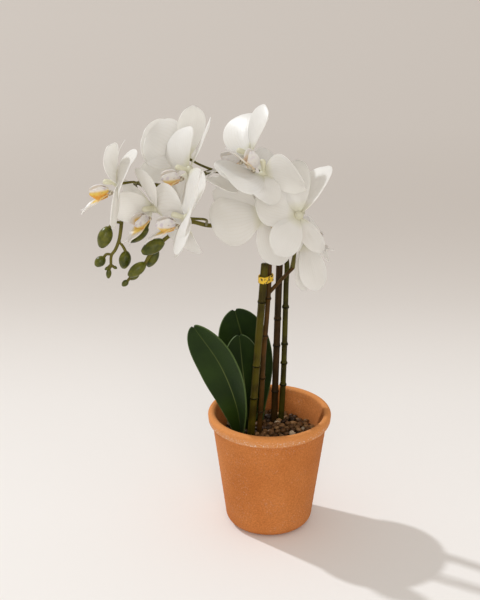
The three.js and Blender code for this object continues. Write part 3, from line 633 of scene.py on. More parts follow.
def bud(foot, tip, radius):
    """A closed bud: an egg with three seams where its sepals meet, narrow and blunt at the tip."""
    foot, tip = point(foot), point(tip)
    bpy.ops.object.select_all(action="DESELECT")
    bpy.ops.mesh.primitive_uv_sphere_add(segments=30, ring_count=20, radius=1)
    egg = bpy.context.object
    length = (tip - foot).length + BUD_SINKS_IN
    for vertex in egg.data.vertices:
        share = (vertex.co.z + 1) / 2
        turn = math.atan2(vertex.co.y, vertex.co.x)
        fullness = math.sin(math.pi * min(share * 0.93 + 0.035, 1)) ** 0.55 * (1.03 - 0.12 * share)
        seam = 1 - 0.07 * max(0, math.cos(3 * turn)) ** 8 * math.sin(math.pi * share)
        reach = math.hypot(vertex.co.x, vertex.co.y)
        around = radius * MM * fullness * seam * min(1, reach * 6)
        vertex.co = Vector((math.cos(turn) * around, math.sin(turn) * around, share * length))
    direction = (tip - foot).normalized()
    stand_up(egg, foot - direction * BUD_SINKS_IN, direction)
    return egg


def bud_spray(spray):
    """The zigzag end of a stem: its spine with a twig for each bud, and the buds."""
    twigs = [grow(curve_through(spray["spine"]), lambda share: 2.0 - 0.55 * share)]
    for path, tip, radius in spray["twigs"]:
        thickening = 0.3 * min(radius / 5, 1)
        twigs.append(grow(curve_through(path, 6), lambda share: 1.3 + thickening * share))
    buds = [bud(path[-1], tip, radius) for path, tip, radius in spray["twigs"]]
    return twigs, buds


STEM_COLOURS = {
    "stem_left": ((0.080, 0.033, 0.006, 1), (0.026, 0.014, 0.003, 1)),
    "stem_low": ((0.050, 0.048, 0.004, 1), (0.017, 0.014, 0.002, 1)),
}
rise_finishes = {
    "stem_left": cane_finish("left_stem_skin", *STEM_COLOURS["stem_left"], LEFT_STEM["joints"]),
    "stem_low": cane_finish("low_stem_skin", *STEM_COLOURS["stem_low"], LOW_STEM["joints"]),
}
arch_finish = cane_finish("arch_skin", (0.150, 0.132, 0.026, 1), (0.072, 0.062, 0.012, 1))
bud_finish, bud_shader = new_finish("bud_skin", 0.32, 0.35)
spot = object_place(bud_finish)
mottled = stretch(grain(spot, 110, 4), 0.35, 0.65)
bud_colour = blend(mottled, (0.040, 0.050, 0.002, 1), (0.125, 0.125, 0.006, 1))
feed(bud_shader, "Base Color", bud_colour)
dent(bud_shader, grain(spot, 500), 0.12 * MM, 0.4)

stem_lines = {
    "left": curve_through(LEFT_STEM["arch"], 14), "rise": curve_through(LEFT_STEM["upright"], 14),
    "low": curve_through(LOW_STEM["arch"], 14), "side": curve_through(SIDE_BRANCH, 14),
    "low_rise": curve_through(LOW_STEM["upright"], 14),
}
left_rods = [
    grow(stem_lines["rise"], lambda share: STEM_RADIUS - 0.35 * share, 6),
    grow(stem_lines["side"], lambda share: ARCH_RADIUS - 0.3 * share),
    *[scar(stem_lines["rise"], height) for height in LEFT_STEM["joints"]],
]
left_arch = [grow(stem_lines["left"], lambda share: STEM_RADIUS - 0.35 - 0.7 * share, 5)]
low_rods = [
    grow(stem_lines["low_rise"], lambda share: STEM_RADIUS + 0.5 - 0.85 * share, 6),
    *[scar(stem_lines["low_rise"], height, 1.14) for height in LOW_STEM["joints"]],
]
low_arch = [grow(stem_lines["low"], lambda share: STEM_RADIUS - 0.35 - 0.5 * share, 5)]
grown = {"stem_left": (left_rods, left_arch, LEFT_BUDS), "stem_low": (low_rods, low_arch, LOW_BUDS)}
for name, (rods, arch_rods, spray) in grown.items():
    twigs, buds = bud_spray(spray)
    parts = (("_rise", rods, rise_finishes[name]), ("_arch", arch_rods + twigs, arch_finish),
             ("_buds", buds, bud_finish))
    for ending, pieces, finish in parts:
        piece = joined(pieces, name + ending)
        dress(piece, name + ending, finish, 50)
        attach(piece, "root")
        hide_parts(name)


# ---- Strap ----
# A soft yellow strap with dark spots, a closed band of rubber round the front cane and the left stem that
# holds the stem to the cane.

STRAP_HEIGHT = 279.5 * MM
STRAP_WIDTH = 7 * MM
STRAP_THICKNESS = 1.2 * MM
STRAP_CLEARANCE = 0.6 * MM
STRAP_WAVE = 0.25 * MM


def place_at_height(line, height):
    """The place on an upright line at a height."""
    for low, high in zip(line, line[1:]):
        if low.z <= height <= high.z:
            return low.lerp(high, (height - low.z) / (high.z - low.z))
    return line[-1]


front_cane = CANES["cane_front"]
near = place_at_height([point(front_cane["foot"]), point(front_cane["top"])], STRAP_HEIGHT)
near_radius = front_cane["radius"] * MM
far = place_at_height([point(place) for place in LEFT_STEM["upright"]], STRAP_HEIGHT)
far_radius = STEM_RADIUS * MM
heading = math.atan2(far.y - near.y, far.x - near.x)
apart = math.hypot(far.x - near.x, far.y - near.y)
lean = math.acos((near_radius - far_radius) / apart)


def round_both(distance):
    """The outline round the cane and the stem, a distance out from both."""
    first, last = math.degrees(heading + lean), math.degrees(heading - lean)
    round_cane = arc(near, near_radius + distance, first, last + 360, 14)
    return round_cane + arc(far, far_radius + distance, last, first, 14)


inner_line, outer_line = round_both(STRAP_CLEARANCE), round_both(STRAP_CLEARANCE + STRAP_THICKNESS)
# Round the strap's section: share of the thickness outwards, and share of half the width upwards.
STRAP_SECTION = ((0.12, -1), (0.5, -1.03), (0.88, -1), (1, -0.9), (1, 0), (1, 0.9), (0.88, 1), (0.5, 1.03),
                 (0.12, 1), (0, 0.9), (0, 0), (0, -0.9))
band = bmesh.new()
loops = []
for i, (inner, outer) in enumerate(zip(inner_line, outer_line)):
    wave = STRAP_WAVE * math.sin(i * 0.9)
    ring = []
    for out, up in STRAP_SECTION:
        across = Vector(inner).lerp(Vector(outer), out)
        ring.append(band.verts.new((across.x, across.y, STRAP_HEIGHT + wave + up * STRAP_WIDTH / 2)))
    loops.append(ring)
for ring, following in zip(loops, loops[1:] + loops[:1]):
    for j in range(len(ring)):
        band.faces.new((ring[j], ring[j - 1], following[j - 1], following[j]))
bmesh.ops.recalc_face_normals(band, faces=band.faces)
strap_mesh = bpy.data.meshes.new("strap_band")
band.to_mesh(strap_mesh)
band.free()
strap = place_in_scene("strap_band", strap_mesh)

strap_finish, strap_shader = new_finish("strap_rubber", 0.45)
spot = object_place(strap_finish)
blots = stretch(grain(spot, 420, 3), 0.53, 0.6)
speckled = blend(blots, (0.80, 0.50, 0.02, 1), (0.05, 0.03, 0.01, 1))
feed(strap_shader, "Base Color", speckled)
dent(strap_shader, blots, 0.2 * MM, 0.5)
dress(strap, "strap_band", strap_finish, 60)
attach(strap, "root")
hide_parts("strap")


# ---- Leaves ----
# Three thick strap leaves, folded at the foot and opening towards a blunt, slightly notched tip. They are
# dark green with a paler midrib that shows most near the pot, and stand in the mix beside the canes.

LEAVES = {
    "leaf_front": {"spine": ((-29, -10, 98), (-34, -13, 140), (-51, -17, 190), (-79, -20, 236)), "width": 46,
                   "face": (-0.35, -0.8, 0.4), "fold": 24},
    "leaf_middle": {"spine": ((-22, 11, 98), (-25, 12, 140), (-29, 12, 178), (-32, 11, 212)), "width": 42,
                    "face": (0.1, -0.95, 0.25), "fold": 16},
    "leaf_rear": {"spine": ((-12, 35, 98), (-19, 44, 140), (-27, 46, 185), (-37, 46, 226)), "width": 57,
                  "face": (0.05, -0.95, 0.3), "fold": 12},
}
LEAF_THICKNESS = 1.6 * MM
LEAF_NOTCH = 0.014  # how far the middle of the tip is drawn back, as a share of the length
LEAF_WIDEST = 0.62  # share of the length at which a leaf is widest
LEAF_WAVE = 0.5 * MM


def leaf_outline(u):
    """A leaf's half width at a share of its length, as a share of the widest."""
    if u < LEAF_WIDEST:
        return 0.26 + 0.74 * math.sin(max(u, 0) / LEAF_WIDEST * math.pi / 2) ** 1.2
    return max(1 - ((u - LEAF_WIDEST) / (1.004 - LEAF_WIDEST)) ** 2.3, 0) ** 0.5


def sheet(columns, rows, place_of, crowding=1.5):
    """A grid drawn into a curved sheet. place_of gives a point's place at u, from 0 at the root to 1 at the
    tip, and v, from -1 to 1 across. Rows crowd towards the tip. The finishes read u and v by the names
    lengthways and across."""
    bpy.ops.object.select_all(action="DESELECT")
    bpy.ops.mesh.primitive_grid_add(x_subdivisions=columns, y_subdivisions=rows, size=2)
    made = bpy.context.object
    shares = [(1 - (1 - (vertex.co.y + 1) / 2) ** crowding, vertex.co.x) for vertex in made.data.vertices]
    for name, values in zip(("lengthways", "across"), zip(*shares)):
        made.data.attributes.new(name, "FLOAT", "POINT").data.foreach_set("value", values)
    for vertex, (u, v) in zip(made.data.vertices, shares):
        vertex.co = place_of(u, v)
    return made


leaf_finish, leaf_shader = new_finish("leaf_skin", 0.45, 0.16)
spot = object_place(leaf_finish)
across = kept_value(leaf_finish, "across")
from_rib = calculate("ABSOLUTE", across)
rib = stretch(from_rib, 0.0, 0.045, 1, 0)
rib_strength = stretch(coordinate(spot, "Z"), 0.15, 0.20, 0.85, 0.3)
veins = stretch(calculate("SINE", times(across, 130)), 0.2, 1)
blotches = stretch(grain(spot, 30, 4), 0.35, 0.68)
green = blend(blotches, (0.007, 0.019, 0.001, 1), (0.016, 0.036, 0.002, 1))
green = blend(times(veins, 0.18), green, (0.035, 0.062, 0.010, 1))
green = blend(times(rib, rib_strength), green, (0.17, 0.21, 0.06, 1))
# Painted highlight: the leaves' edges are painted paler, as where the light catches them.
painted_edge_highlight = stretch(from_rib, 0.95, 1.0)
green = blend(times(painted_edge_highlight, 0.5), green, (0.12, 0.18, 0.05, 1))
feed(leaf_shader, "Base Color", green)
pores = grain(spot, 700, 3)
dent(leaf_shader, calculate("ADD", veins, pores), 0.1 * MM, 0.45)
leaf_shader.inputs["Sheen Weight"].default_value = 0.05
leaf_shader.inputs["Sheen Tint"].default_value = (0.55, 0.78, 0.72, 1)

for name, leaf in LEAVES.items():
    line = curve_through(leaf["spine"], 24)
    face = Vector(leaf["face"])
    half = leaf["width"] * MM / 2

    def leaf_place(u, v):
        spine_at = along(line, min(max(u, 0), 1))
        out = (along(line, min(u + 0.01, 1)) - along(line, max(u - 0.01, 0))).normalized()
        side = out.cross(face).normalized()
        raised = side.cross(out)
        reach = half * leaf_outline(u)
        closed = math.radians(leaf["fold"] + 34 * (1 - u) ** 3)
        wave = LEAF_WAVE * abs(v) ** 2 * math.sin(u * 17 + 2 * v) * math.sin(math.pi * u)
        return (spine_at + side * (reach * v * math.cos(closed))
                + raised * (reach * math.sqrt(v * v + 0.004) * math.sin(closed) + wave))

    def notched(u, v):
        return leaf_place(u * (1 - LEAF_NOTCH * math.exp(-((v / 0.2) ** 2))), v)

    blade = sheet(24, 60, notched, 1.3)
    apply_modifier(blade, "SOLIDIFY", thickness=LEAF_THICKNESS, offset=0)
    blade = joined([blade], name + "_blade")
    dress(blade, name + "_blade", leaf_finish, 60)
    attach(blade, "root")
    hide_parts(name)


# ---- Blooms ----
# Moth orchid flowers, each on its own stalk: three oval sepals behind two broad petals, white and thin enough
# to glow, on a small hub with a blunt column. A lip in yellow and orange hangs below the column, with two
# ears and two whiskers.

TEPALS = {
    "top": {"angle": 90, "length": 53, "width": 35, "lean": 4, "curl": -14, "cup": -16, "layer": -0.8},
    "lowLeft": {"angle": 232, "length": 52, "width": 34, "lean": 4, "curl": -14, "cup": -16, "layer": -0.8},
    "lowRight": {"angle": 308, "length": 52, "width": 34, "lean": 4, "curl": -14, "cup": -16, "layer": -0.8},
    "left": {"angle": 172, "length": 54, "width": 53, "lean": 6, "curl": -18, "cup": -12, "layer": 1.2},
    "right": {"angle": 8, "length": 54, "width": 53, "lean": 6, "curl": -18, "cup": -12, "layer": 1.2},
}
HUB_RADIUS = 4.8  # millimetres, as are the tepals' sizes and the places of hubs
TEPAL_THICKNESS = 0.7 * MM
OUTLINE_AT_WIDEST = 0.441
TEPAL_WAVES = 5.5  # along one edge, in radians; the other edge has more
BROAD = 40  # a tepal wider than this is one of the two broad petals
# Each bloom: its hub, where it faces (azimuth, height, roll), the stem and share along it that its stalk
# leaves from, the side that the stalk comes from where that isn't the back, and how its own tepals bend.
BLOOMS = {
    "far_left": {"at": (-152, -8, 384), "faces": (-85, -5, 0), "from": ("left", 0.72), "bends": {
        "top": {"angle": 62, "lean": 14, "length": 50, "twist": -35},
        "lowLeft": {"angle": 166, "lean": -3, "length": 43, "curl": -9, "spin": 20, "twist": 15},
        "lowRight": {"angle": 334, "lean": 18, "curl": -10},
        "left": {"angle": 152, "lean": 2, "length": 45, "curl": -20, "twist": 20},
        "right": {"angle": 39, "lean": -8, "length": 46, "curl": -25, "twist": -35},
    }},
    "left": {"at": (-116, -10, 359), "faces": (-50, -8, 5), "from": ("left", 0.64), "bends": {
        "top": {"angle": 81, "lean": 38, "curl": -38, "spin": -20, "twist": 25},
        "lowLeft": {"angle": 178, "lean": 55, "length": 42, "curl": -10},
        "lowRight": {"angle": 251, "lean": -41, "length": 44, "curl": -6, "twist": 15},
        "left": {"angle": 188, "lean": 17, "length": 47, "curl": -40, "spin": -5, "twist": -15},
        "right": {"angle": 20, "lean": 8, "length": 48, "curl": -14, "spin": 15, "twist": -15},
    }},
    "low_left": {"at": (-83, -62, 367), "faces": (-90, 2, 0), "from": ("low", 0.5), "bends": {
        "top": {"angle": 76, "lean": -12, "curl": -2, "spin": 5, "twist": -15},
        "lowLeft": {"angle": 261, "lean": 21, "length": 40, "curl": -12, "spin": -25, "twist": 40},
        "lowRight": {"angle": 352, "lean": 22, "curl": -42, "spin": -30, "twist": 5},
        "left": {"angle": 229, "lean": 14, "length": 53, "curl": -16, "spin": -35, "twist": -20},
        "right": {"angle": 5, "lean": 13, "length": 44, "curl": -32, "spin": -35, "twist": 25},
    }},
    "middle": {"at": (-81, -4, 397), "faces": (-78, 0, 0), "from": ("left", 0.18),
        "approach": (0.75, 0.5, -0.4), "bends": {
        "top": {"angle": 110, "lean": -26, "curl": -2, "spin": -5, "twist": -5},
        "lowLeft": {"angle": 264, "lean": 24, "length": 50, "curl": -8, "spin": -45, "twist": 20},
        "lowRight": {"angle": 317, "lean": -50, "curl": -40, "spin": 15, "twist": 60},
        "left": {"angle": 139, "lean": 27, "length": 44, "curl": -42, "spin": 10, "twist": 20},
        "right": {"angle": 338, "lean": 12, "curl": -13, "spin": -20, "twist": -5},
    }},
    "rear": {"at": (-85, 42, 395), "faces": (-125, 15, 0), "from": ("left", 0.13), "bends": {
        "top": {"angle": 100, "lean": 24, "length": 51, "curl": -20, "spin": -15, "twist": -5},
        "lowLeft": {"angle": 181, "lean": 31, "length": 49, "curl": -4, "spin": -35, "twist": 35},
        "lowRight": {"angle": 318, "lean": 52, "length": 51, "curl": -21, "spin": 20, "twist": -10},
        "left": {"angle": 33, "lean": 45, "length": 44, "curl": 15, "spin": -25, "twist": 60},
        "right": {"angle": 26, "lean": 57, "length": 48, "curl": -11, "spin": 15, "twist": 20},
    }},
    "crown": {"at": (-21, 16, 406), "faces": (-80, 10, 5), "from": ("rise", 0.84),
        "approach": (0.5, 0.35, -0.8), "bends": {
        "top": {"angle": 111, "lean": 12, "length": 50, "curl": -42, "spin": 5, "twist": 15},
        "lowLeft": {"angle": 198, "lean": 18, "curl": -38, "spin": 15, "twist": 15},
        "lowRight": {"angle": 304, "lean": -4, "curl": -34, "spin": -145, "twist": -5},
        "left": {"angle": 155, "lean": 12, "curl": -24, "spin": 20, "twist": 35},
        "right": {"angle": 176, "lean": -2, "length": 47, "curl": -15, "spin": -10, "twist": 45},
    }},
    "inner": {"at": (-8, -6, 394), "faces": (-70, 70, 0), "from": ("rise", 0.9), "bends": {
        "top": {"angle": 145, "lean": 10, "length": 49, "curl": -42, "spin": 35, "twist": 30},
        "lowLeft": {"angle": 275, "lean": 44, "spin": -15, "twist": -10},
        "lowRight": {"angle": 340, "lean": 5, "length": 44, "curl": -42, "spin": -5, "twist": -60},
        "left": {"angle": 294, "lean": 26, "length": 46, "curl": 5, "spin": -15, "twist": -20},
        "right": {"angle": 28, "lean": 6, "length": 50, "width": 50, "curl": -42, "spin": 70, "twist": 50},
    }},
    "front": {"at": (-7, 8, 347), "faces": (30, 0, -30), "from": ("low", 0.0), "bends": {
        "top": {"angle": 123, "lean": -27, "spin": -20, "twist": -15},
        "lowLeft": {"angle": 247, "lean": 29, "curl": 4, "spin": 15, "twist": 20},
        "lowRight": {"angle": 279, "lean": 24, "spin": 10, "twist": 10},
        "left": {"angle": 152, "lean": -7, "curl": -7, "spin": 20, "twist": 35},
        "right": {"angle": 337, "lean": -16, "length": 49, "curl": -17, "spin": -35},
    }},
    "right": {"at": (27, -22, 356), "faces": (165, -22, 0), "from": ("side", 1),
        "approach": (-0.08, -0.4, -0.9), "bends": {
        "top": {"angle": 79, "lean": -1, "width": 33, "curl": 20, "spin": -5, "twist": -20},
        "lowLeft": {"angle": 235, "lean": 33, "length": 42, "width": 30, "curl": -22, "spin": 30,
                    "twist": 20},
        "lowRight": {"angle": 288, "lean": -40, "length": 49, "width": 33, "curl": 8, "spin": -15,
                     "twist": -20},
        "left": {"angle": 109, "lean": 13, "width": 48, "curl": 13, "spin": -45, "twist": -5},
        "right": {"angle": 16, "lean": -26, "length": 46, "width": 48, "curl": -17, "spin": 35, "twist": -5},
    }},
    "low_right": {"at": (35, 27, 313), "faces": (30, 35, 0), "from": ("side", 0.9), "bends": {
        "top": {"angle": 53, "lean": -38, "length": 52, "curl": -31, "spin": -15, "twist": 55},
        "lowLeft": {"angle": 268, "lean": -24, "curl": -10, "spin": -20, "twist": -10},
        "lowRight": {"angle": 274, "lean": -2, "curl": -18, "spin": -5},
        "left": {"angle": 3, "lean": -28, "curl": -29, "spin": -15, "twist": 15},
        "right": {"angle": 41, "lean": -42, "length": 36, "curl": -40, "spin": 25, "twist": 15},
    }},
}
STALK_ENDS = {"back": 0.8, "side": 1.3}  # share of the hub's radius at which a stalk ends
STALK_GAP = 0.3  # millimetres left between a stalk's end and the bloom
STALK_RUN_IN = 12 * MM  # how far from its end a stalk turns towards the hub


def bloom_place(at, faces):
    """The matrix that stands a bloom made facing +Z in its place."""
    azimuth, height, roll = (math.radians(turn) for turn in faces)
    level = math.cos(height)
    ahead = Vector((math.sin(azimuth) * level, -math.cos(azimuth) * level, math.sin(height)))
    right = Vector((0, 0, 1)).cross(ahead).normalized()
    up = ahead.cross(right)
    turned = Matrix((right, up, ahead)).transposed().to_4x4()
    return Matrix.Translation(point(at)) @ turned @ Matrix.Rotation(-roll, 4, "Z")


def curved_place(u, v, out, side, face, root, length, half_width, curl, cup, spin=0, twist=0):
    """A point of a curved strip that starts along out and bends towards face, and the way the strip's face
    looks there. Lengths are in millimetres."""
    bend = math.radians(curl or 0.01)
    reach = length * math.sin(bend * u) / bend
    lift = length * (1 - math.cos(bend * u)) / bend
    surface = face * math.cos(bend * u) - out * math.sin(bend * u)
    turn = math.radians(spin + twist * u)
    across = side * math.cos(turn) + surface * math.sin(turn)
    raised = surface * math.cos(turn) - side * math.sin(turn)
    hollow = math.radians(cup or 0.01)
    middle = root + out * reach + face * lift
    return (middle + across * (half_width * math.sin(hollow * v) / hollow)
            + raised * (half_width * (1 - math.cos(hollow * v)) / hollow)), raised


def tepal(shape, seed):
    """One sepal or petal, with a crease along its middle and a softly waved edge."""
    turn, lean = math.radians(shape["angle"]), math.radians(shape["lean"])
    spoke = Vector((math.cos(turn), math.sin(turn), 0))
    side = Vector((-math.sin(turn), math.cos(turn), 0))
    ahead = Vector((0, 0, 1))
    out = spoke * math.cos(lean) + ahead * math.sin(lean)
    face = ahead * math.cos(lean) - spoke * math.sin(lean)
    root = spoke * (HUB_RADIUS - 1.4) + ahead * shape["layer"]
    broad = shape["width"] > BROAD
    columns, wave_height, pointed = (22, 0.55, 0) if broad else (16, 0.3, 0.03)

    def place_of(u, v):
        outline = (u + 0.03) ** 0.8 * max(1.006 - u, 0) ** 0.46 / OUTLINE_AT_WIDEST
        place, raised = curved_place(u * (1 - pointed * abs(v) ** 3), v, out, side, face, root,
                                     shape["length"], shape["width"] / 2 * outline, shape["curl"],
                                     shape["cup"], shape.get("spin", 0), shape.get("twist", 0))
        crease = -0.45 * math.exp(-((v / 0.16) ** 2)) * math.sin(math.pi * min(u * 1.1, 1))
        waves_along = TEPAL_WAVES if v > 0 else TEPAL_WAVES * 1.3
        wave = wave_height * abs(v) ** 2.5 * math.sin(waves_along * u + seed * 1.7 + v)
        pucker = 0.22 * noise.noise(Vector((u * 5, v * 3, seed * 3.1)))
        return (place + raised * (crease + (wave + pucker) * math.sin(math.pi * u))) * MM

    made = sheet(columns, 26, place_of, 1.7)
    apply_modifier(made, "SOLIDIFY", thickness=TEPAL_THICKNESS, offset=0)
    return made


# The column's radius and height from the hub to its cap.
COLUMN = ((2.4, 0), (2.6, 2), (2.7, 5), (3.2, 8), (3.5, 10.5), (3.3, 12.2), (2.5, 13.4), (1, 13.9))
COLUMN_FLAT_ABOVE = 4 * MM  # over this height its underside is flattened
COLUMN_LEAN = math.radians(-12)
COLUMN_FOOT = (0, 0.6 * MM, 1 * MM)


def hub_and_column():
    """The hub behind the petals, and the column with its hooded end and cap."""
    bpy.ops.object.select_all(action="DESELECT")
    bpy.ops.mesh.primitive_uv_sphere_add(segments=24, ring_count=14, radius=HUB_RADIUS * MM)
    hub = bpy.context.object
    hub.data.transform(Matrix.Diagonal((1, 1, 0.8, 1)))
    column = draw_rings([(radius * MM, height * MM) for radius, height in COLUMN], 20)
    for vertex in column.data.vertices:
        if vertex.co.y < 0 and vertex.co.z > COLUMN_FLAT_ABOVE:
            vertex.co.y *= 0.55
    leaning = Matrix.Rotation(COLUMN_LEAN, 4, "X")
    column.data.transform(Matrix.Translation(COLUMN_FOOT) @ leaning)
    return [hub, column]


def let_light_through(shader, colour, share):
    """Mixes in a share of the light that falls on the far side of a thin piece."""
    glow = node("ShaderNodeBsdfTranslucent", {"Color": colour})
    inputs = {0: share, 1: shader.outputs["BSDF"], 2: glow.outputs["BSDF"]}
    both = node("ShaderNodeMixShader", inputs)
    feed(shader.id_data.nodes["Material Output"], "Surface", both.outputs["Shader"])


petal_finish, petal_shader = new_finish("petal_skin", 0.36)
spot = object_place(petal_finish)
lengthways, across = kept_value(petal_finish, "lengthways"), kept_value(petal_finish, "across")
wobble = times(grain(spot, 160, 2), 3.2)
fan = calculate("ADD", times(across, 44), wobble)
veins = stretch(calculate("SINE", fan), 0.55, 1)
vein_share = times(veins, stretch(lengthways, 0.1, 0.95, 0.22, 0.08))
clouds = stretch(grain(spot, 45), 0.35, 0.65)
white = blend(clouds, (0.935, 0.928, 0.91, 1), (0.96, 0.956, 0.945, 1))
white = blend(vein_share, white, (0.80, 0.76, 0.68, 1))
throat = stretch(lengthways, 0.0, 0.22, 0.5, 0)
white = blend(throat, white, (0.78, 0.76, 0.50, 1))
feed(petal_shader, "Base Color", white)
pores = grain(spot, 900, 2)
relief = calculate("ADD", times(veins, 0.6), pores)
dent(petal_shader, relief, 0.16 * MM, 0.6)
let_light_through(petal_shader, tinted(white, (1, 0.985, 0.95, 1)), 0.42)

WHITE = Vector((0.86, 0.84, 0.82))
CREAM = Vector((0.84, 0.78, 0.62))
YELLOW = Vector((0.86, 0.60, 0.07))
ORANGE = Vector((0.80, 0.33, 0.02))
CRIMSON = Vector((0.13, 0.035, 0.03))
LILAC = Vector((0.70, 0.64, 0.70))
LIP_SCALE = 1.2
LIP_SHIFT = (0, -0.9, 0.4)
BOSS = {"at": (0, -6.2, 8.5), "radius": 3, "stretch": (1, 0.8, 1.5)}
LOBE = {"root": (0, -6.6, 8), "out": (0, -0.42, 0.908), "side": (1, 0, 0), "face": (0, 0.908, 0.42),
        "length": 24, "half_width": 9.3, "thickness": 1.3, "curl": -8, "cup": 16}
EAR = {"root": (1.6, -5.6, 8.4), "out": (0.501, 0.15, 0.852), "side": (0, -0.985, 0.174),
       "face": (-0.865, 0.087, 0.494), "length": 16, "half_width": 7.6, "thickness": 1.2, "curl": 40,
       "cup": 22}
WHISKER = ((0.8, -16.6, 26.2), (2.0, -18.0, 29.0), (3.5, -19.4, 31.2), (4.7, -20.2, 32.0), (5.4, -20.0, 32.8))


def step(value, low, high):
    """A soft step from 0 to 1 between low and high."""
    share = min(max((value - low) / (high - low), 0), 1)
    return share * share * (3 - 2 * share)


def paint(piece, colour_of):
    """Keeps a colour for each point of a piece of the lip, from its place and the way it looks there."""
    layer = piece.data.attributes.new("tint", "FLOAT_COLOR", "POINT")
    for i, vertex in enumerate(piece.data.vertices):
        layer.data[i].color = (*colour_of(vertex.co / MM, vertex.normal), 1)


def ball(at, radius, stretch_by, segments=20, rings=12):
    """A stretched ball with its place in its mesh."""
    bpy.ops.object.select_all(action="DESELECT")
    bpy.ops.mesh.primitive_uv_sphere_add(segments=segments, ring_count=rings, radius=radius * MM)
    made = bpy.context.object
    made.data.transform(Matrix.Translation(point(at)) @ Matrix.Diagonal((*stretch_by, 1)))
    return made


def lip_strip(shape, outline, hand, columns, rows, swell):
    """The lobe or an ear, on the right (hand 1) or the left (hand -1), with its root and the way it faces.
    swell lifts its middle or waves its edge."""
    ways = (shape["root"], shape["out"], shape["side"], shape["face"])
    root, out, side, face = (Vector((hand * x, y, z)) for x, y, z in ways)

    def place_of(u, v):
        place, raised = curved_place(u, v, out, side * hand, face, root, shape["length"],
                                     shape["half_width"] * outline(u), shape["curl"], shape["cup"])
        return (place + raised * swell(u, v)) * MM

    made = sheet(columns, rows, place_of, 1.6)
    apply_modifier(made, "SOLIDIFY", thickness=shape["thickness"] * MM, offset=0)
    return made, root, face


def lobe_outline(u):
    """The lobe's half width at a share of its length, as a share of the widest."""
    return min(1, 0.34 + 0.9 * u) * max(1.008 - u, 0) ** 0.5


def ear_outline(u):
    """An ear's half width, likewise."""
    return min(1, 0.5 + 1.2 * u) * max(1.006 - u, 0) ** 0.45


def lobe_keel(u, v):
    """The keel along the lobe's middle and the waves of its edge, in millimetres."""
    keel = 0.8 * math.exp(-((v / 0.2) ** 2)) * math.sin(math.pi * min(u * 1.3, 1))
    return keel + 0.5 * abs(v) ** 3 * math.sin(9 * u)


def ear_wave(u, v):
    """The waves of an ear's edge, in millimetres."""
    return 0.5 * abs(v) ** 2 * math.sin(7 * u + v)


def lip_pieces(yellow_up_to, strength):
    """A lip made facing +Z: boss, lobe, ears, callus and whiskers, each painted. Yellow climbs the outside of
    its ears up to a height in millimetres, and its colours have a strength between 0 and 1."""
    boss = ball(BOSS["at"], BOSS["radius"], BOSS["stretch"])

    def boss_colour(at, look):
        stripes = step(math.sin(at.z * 3.1 + 2 * at.x), 0.35, 0.8)
        return CREAM.lerp(CRIMSON, 0.85 * stripes)

    paint(boss, boss_colour)
    lobe, lobe_root, lobe_face = lip_strip(LOBE, lobe_outline, 1, 16, 26, lobe_keel)

    def lobe_colour(at, look):
        far = (lobe_root - at).length
        colour = YELLOW.lerp(ORANGE, step(noise.noise(at * 0.28), -0.15, 0.4) * (1 - step(far, 8, 14)))
        stripes = step(math.sin(at.x * 2.4 + far), 0.55, 0.9) * (1 - step(far, 6, 10))
        colour = colour.lerp(CRIMSON, 0.85 * stripes)
        colour = colour.lerp(WHITE, step(far + 1.2 * abs(at.x), 15, 21))
        colour = WHITE.lerp(colour, strength)
        return colour if look.dot(lobe_face) > 0 else colour.lerp(CREAM, 0.4)

    paint(lobe, lobe_colour)
    pieces = [boss, lobe]
    for hand in (-1, 1):
        ear, ear_root, ear_face = lip_strip(EAR, ear_outline, hand, 14, 20, ear_wave)

        def ear_colour(at, look):
            far = (ear_root - at).length
            low = -(at.y - ear_root.y)
            colour = YELLOW.lerp(ORANGE, step(low + 2 * noise.noise(at * 0.35), -1.5, 3.5))
            colour = colour.lerp(WHITE, step(far, 8.5, 12.5)).lerp(WHITE, step(-low, 0.5, 4.5))
            spots = step(noise.noise(at * 1.25), 0.2, 0.36) * (1 - step(far, 5, 9))
            colour = colour.lerp(CRIMSON, 0.85 * spots)
            outside = WHITE.lerp(LILAC, step(noise.noise(at * 0.4), 0, 0.4))
            below = low + yellow_up_to
            outside = outside.lerp(YELLOW, 0.95 * step(below, 0, 2.5))
            outside = outside.lerp(ORANGE, 0.85 * step(below + 2 * noise.noise(at * 0.5), 2, 5))
            freckles = step(noise.noise(at * 1.7 + Vector((4, 0, 0))), 0.34, 0.45) * (1 - step(far, 5, 8))
            outside = outside.lerp(CRIMSON, 0.6 * freckles)
            return WHITE.lerp(colour if look.dot(ear_face) > 0 else outside, strength)

        paint(ear, ear_colour)
        hair_line = curve_through([(hand * x, y, z) for x, y, z in WHISKER], 6)
        hair = grow(hair_line, lambda share: 1.05 - 0.65 * share, 2)
        paint(hair, lambda at, look: WHITE)
        callus = ball((hand * 1.3, -5.2, 12.4), 1.5, (0.8, 1, 1.4), 14, 8)
        paint(callus, lambda at, look: ORANGE.lerp(CRIMSON, step(noise.noise(at * 1.5), 0.05, 0.3)))
        pieces += [ear, hair, callus]
    return pieces


lip_finish, lip_shader = new_finish("lip_skin", 0.35)
spot = object_place(lip_finish)
tint = kept_value(lip_finish, "tint", "Color")
flecks = stretch(grain(spot, 500, 3), 0.4, 0.66)
lip_colour = blend(times(flecks, 0.12), tint, (0.86, 0.74, 0.50, 1))
feed(lip_shader, "Base Color", lip_colour)
dent(lip_shader, flecks, 0.12 * MM, 0.4)
let_light_through(lip_shader, lip_colour, 0.25)

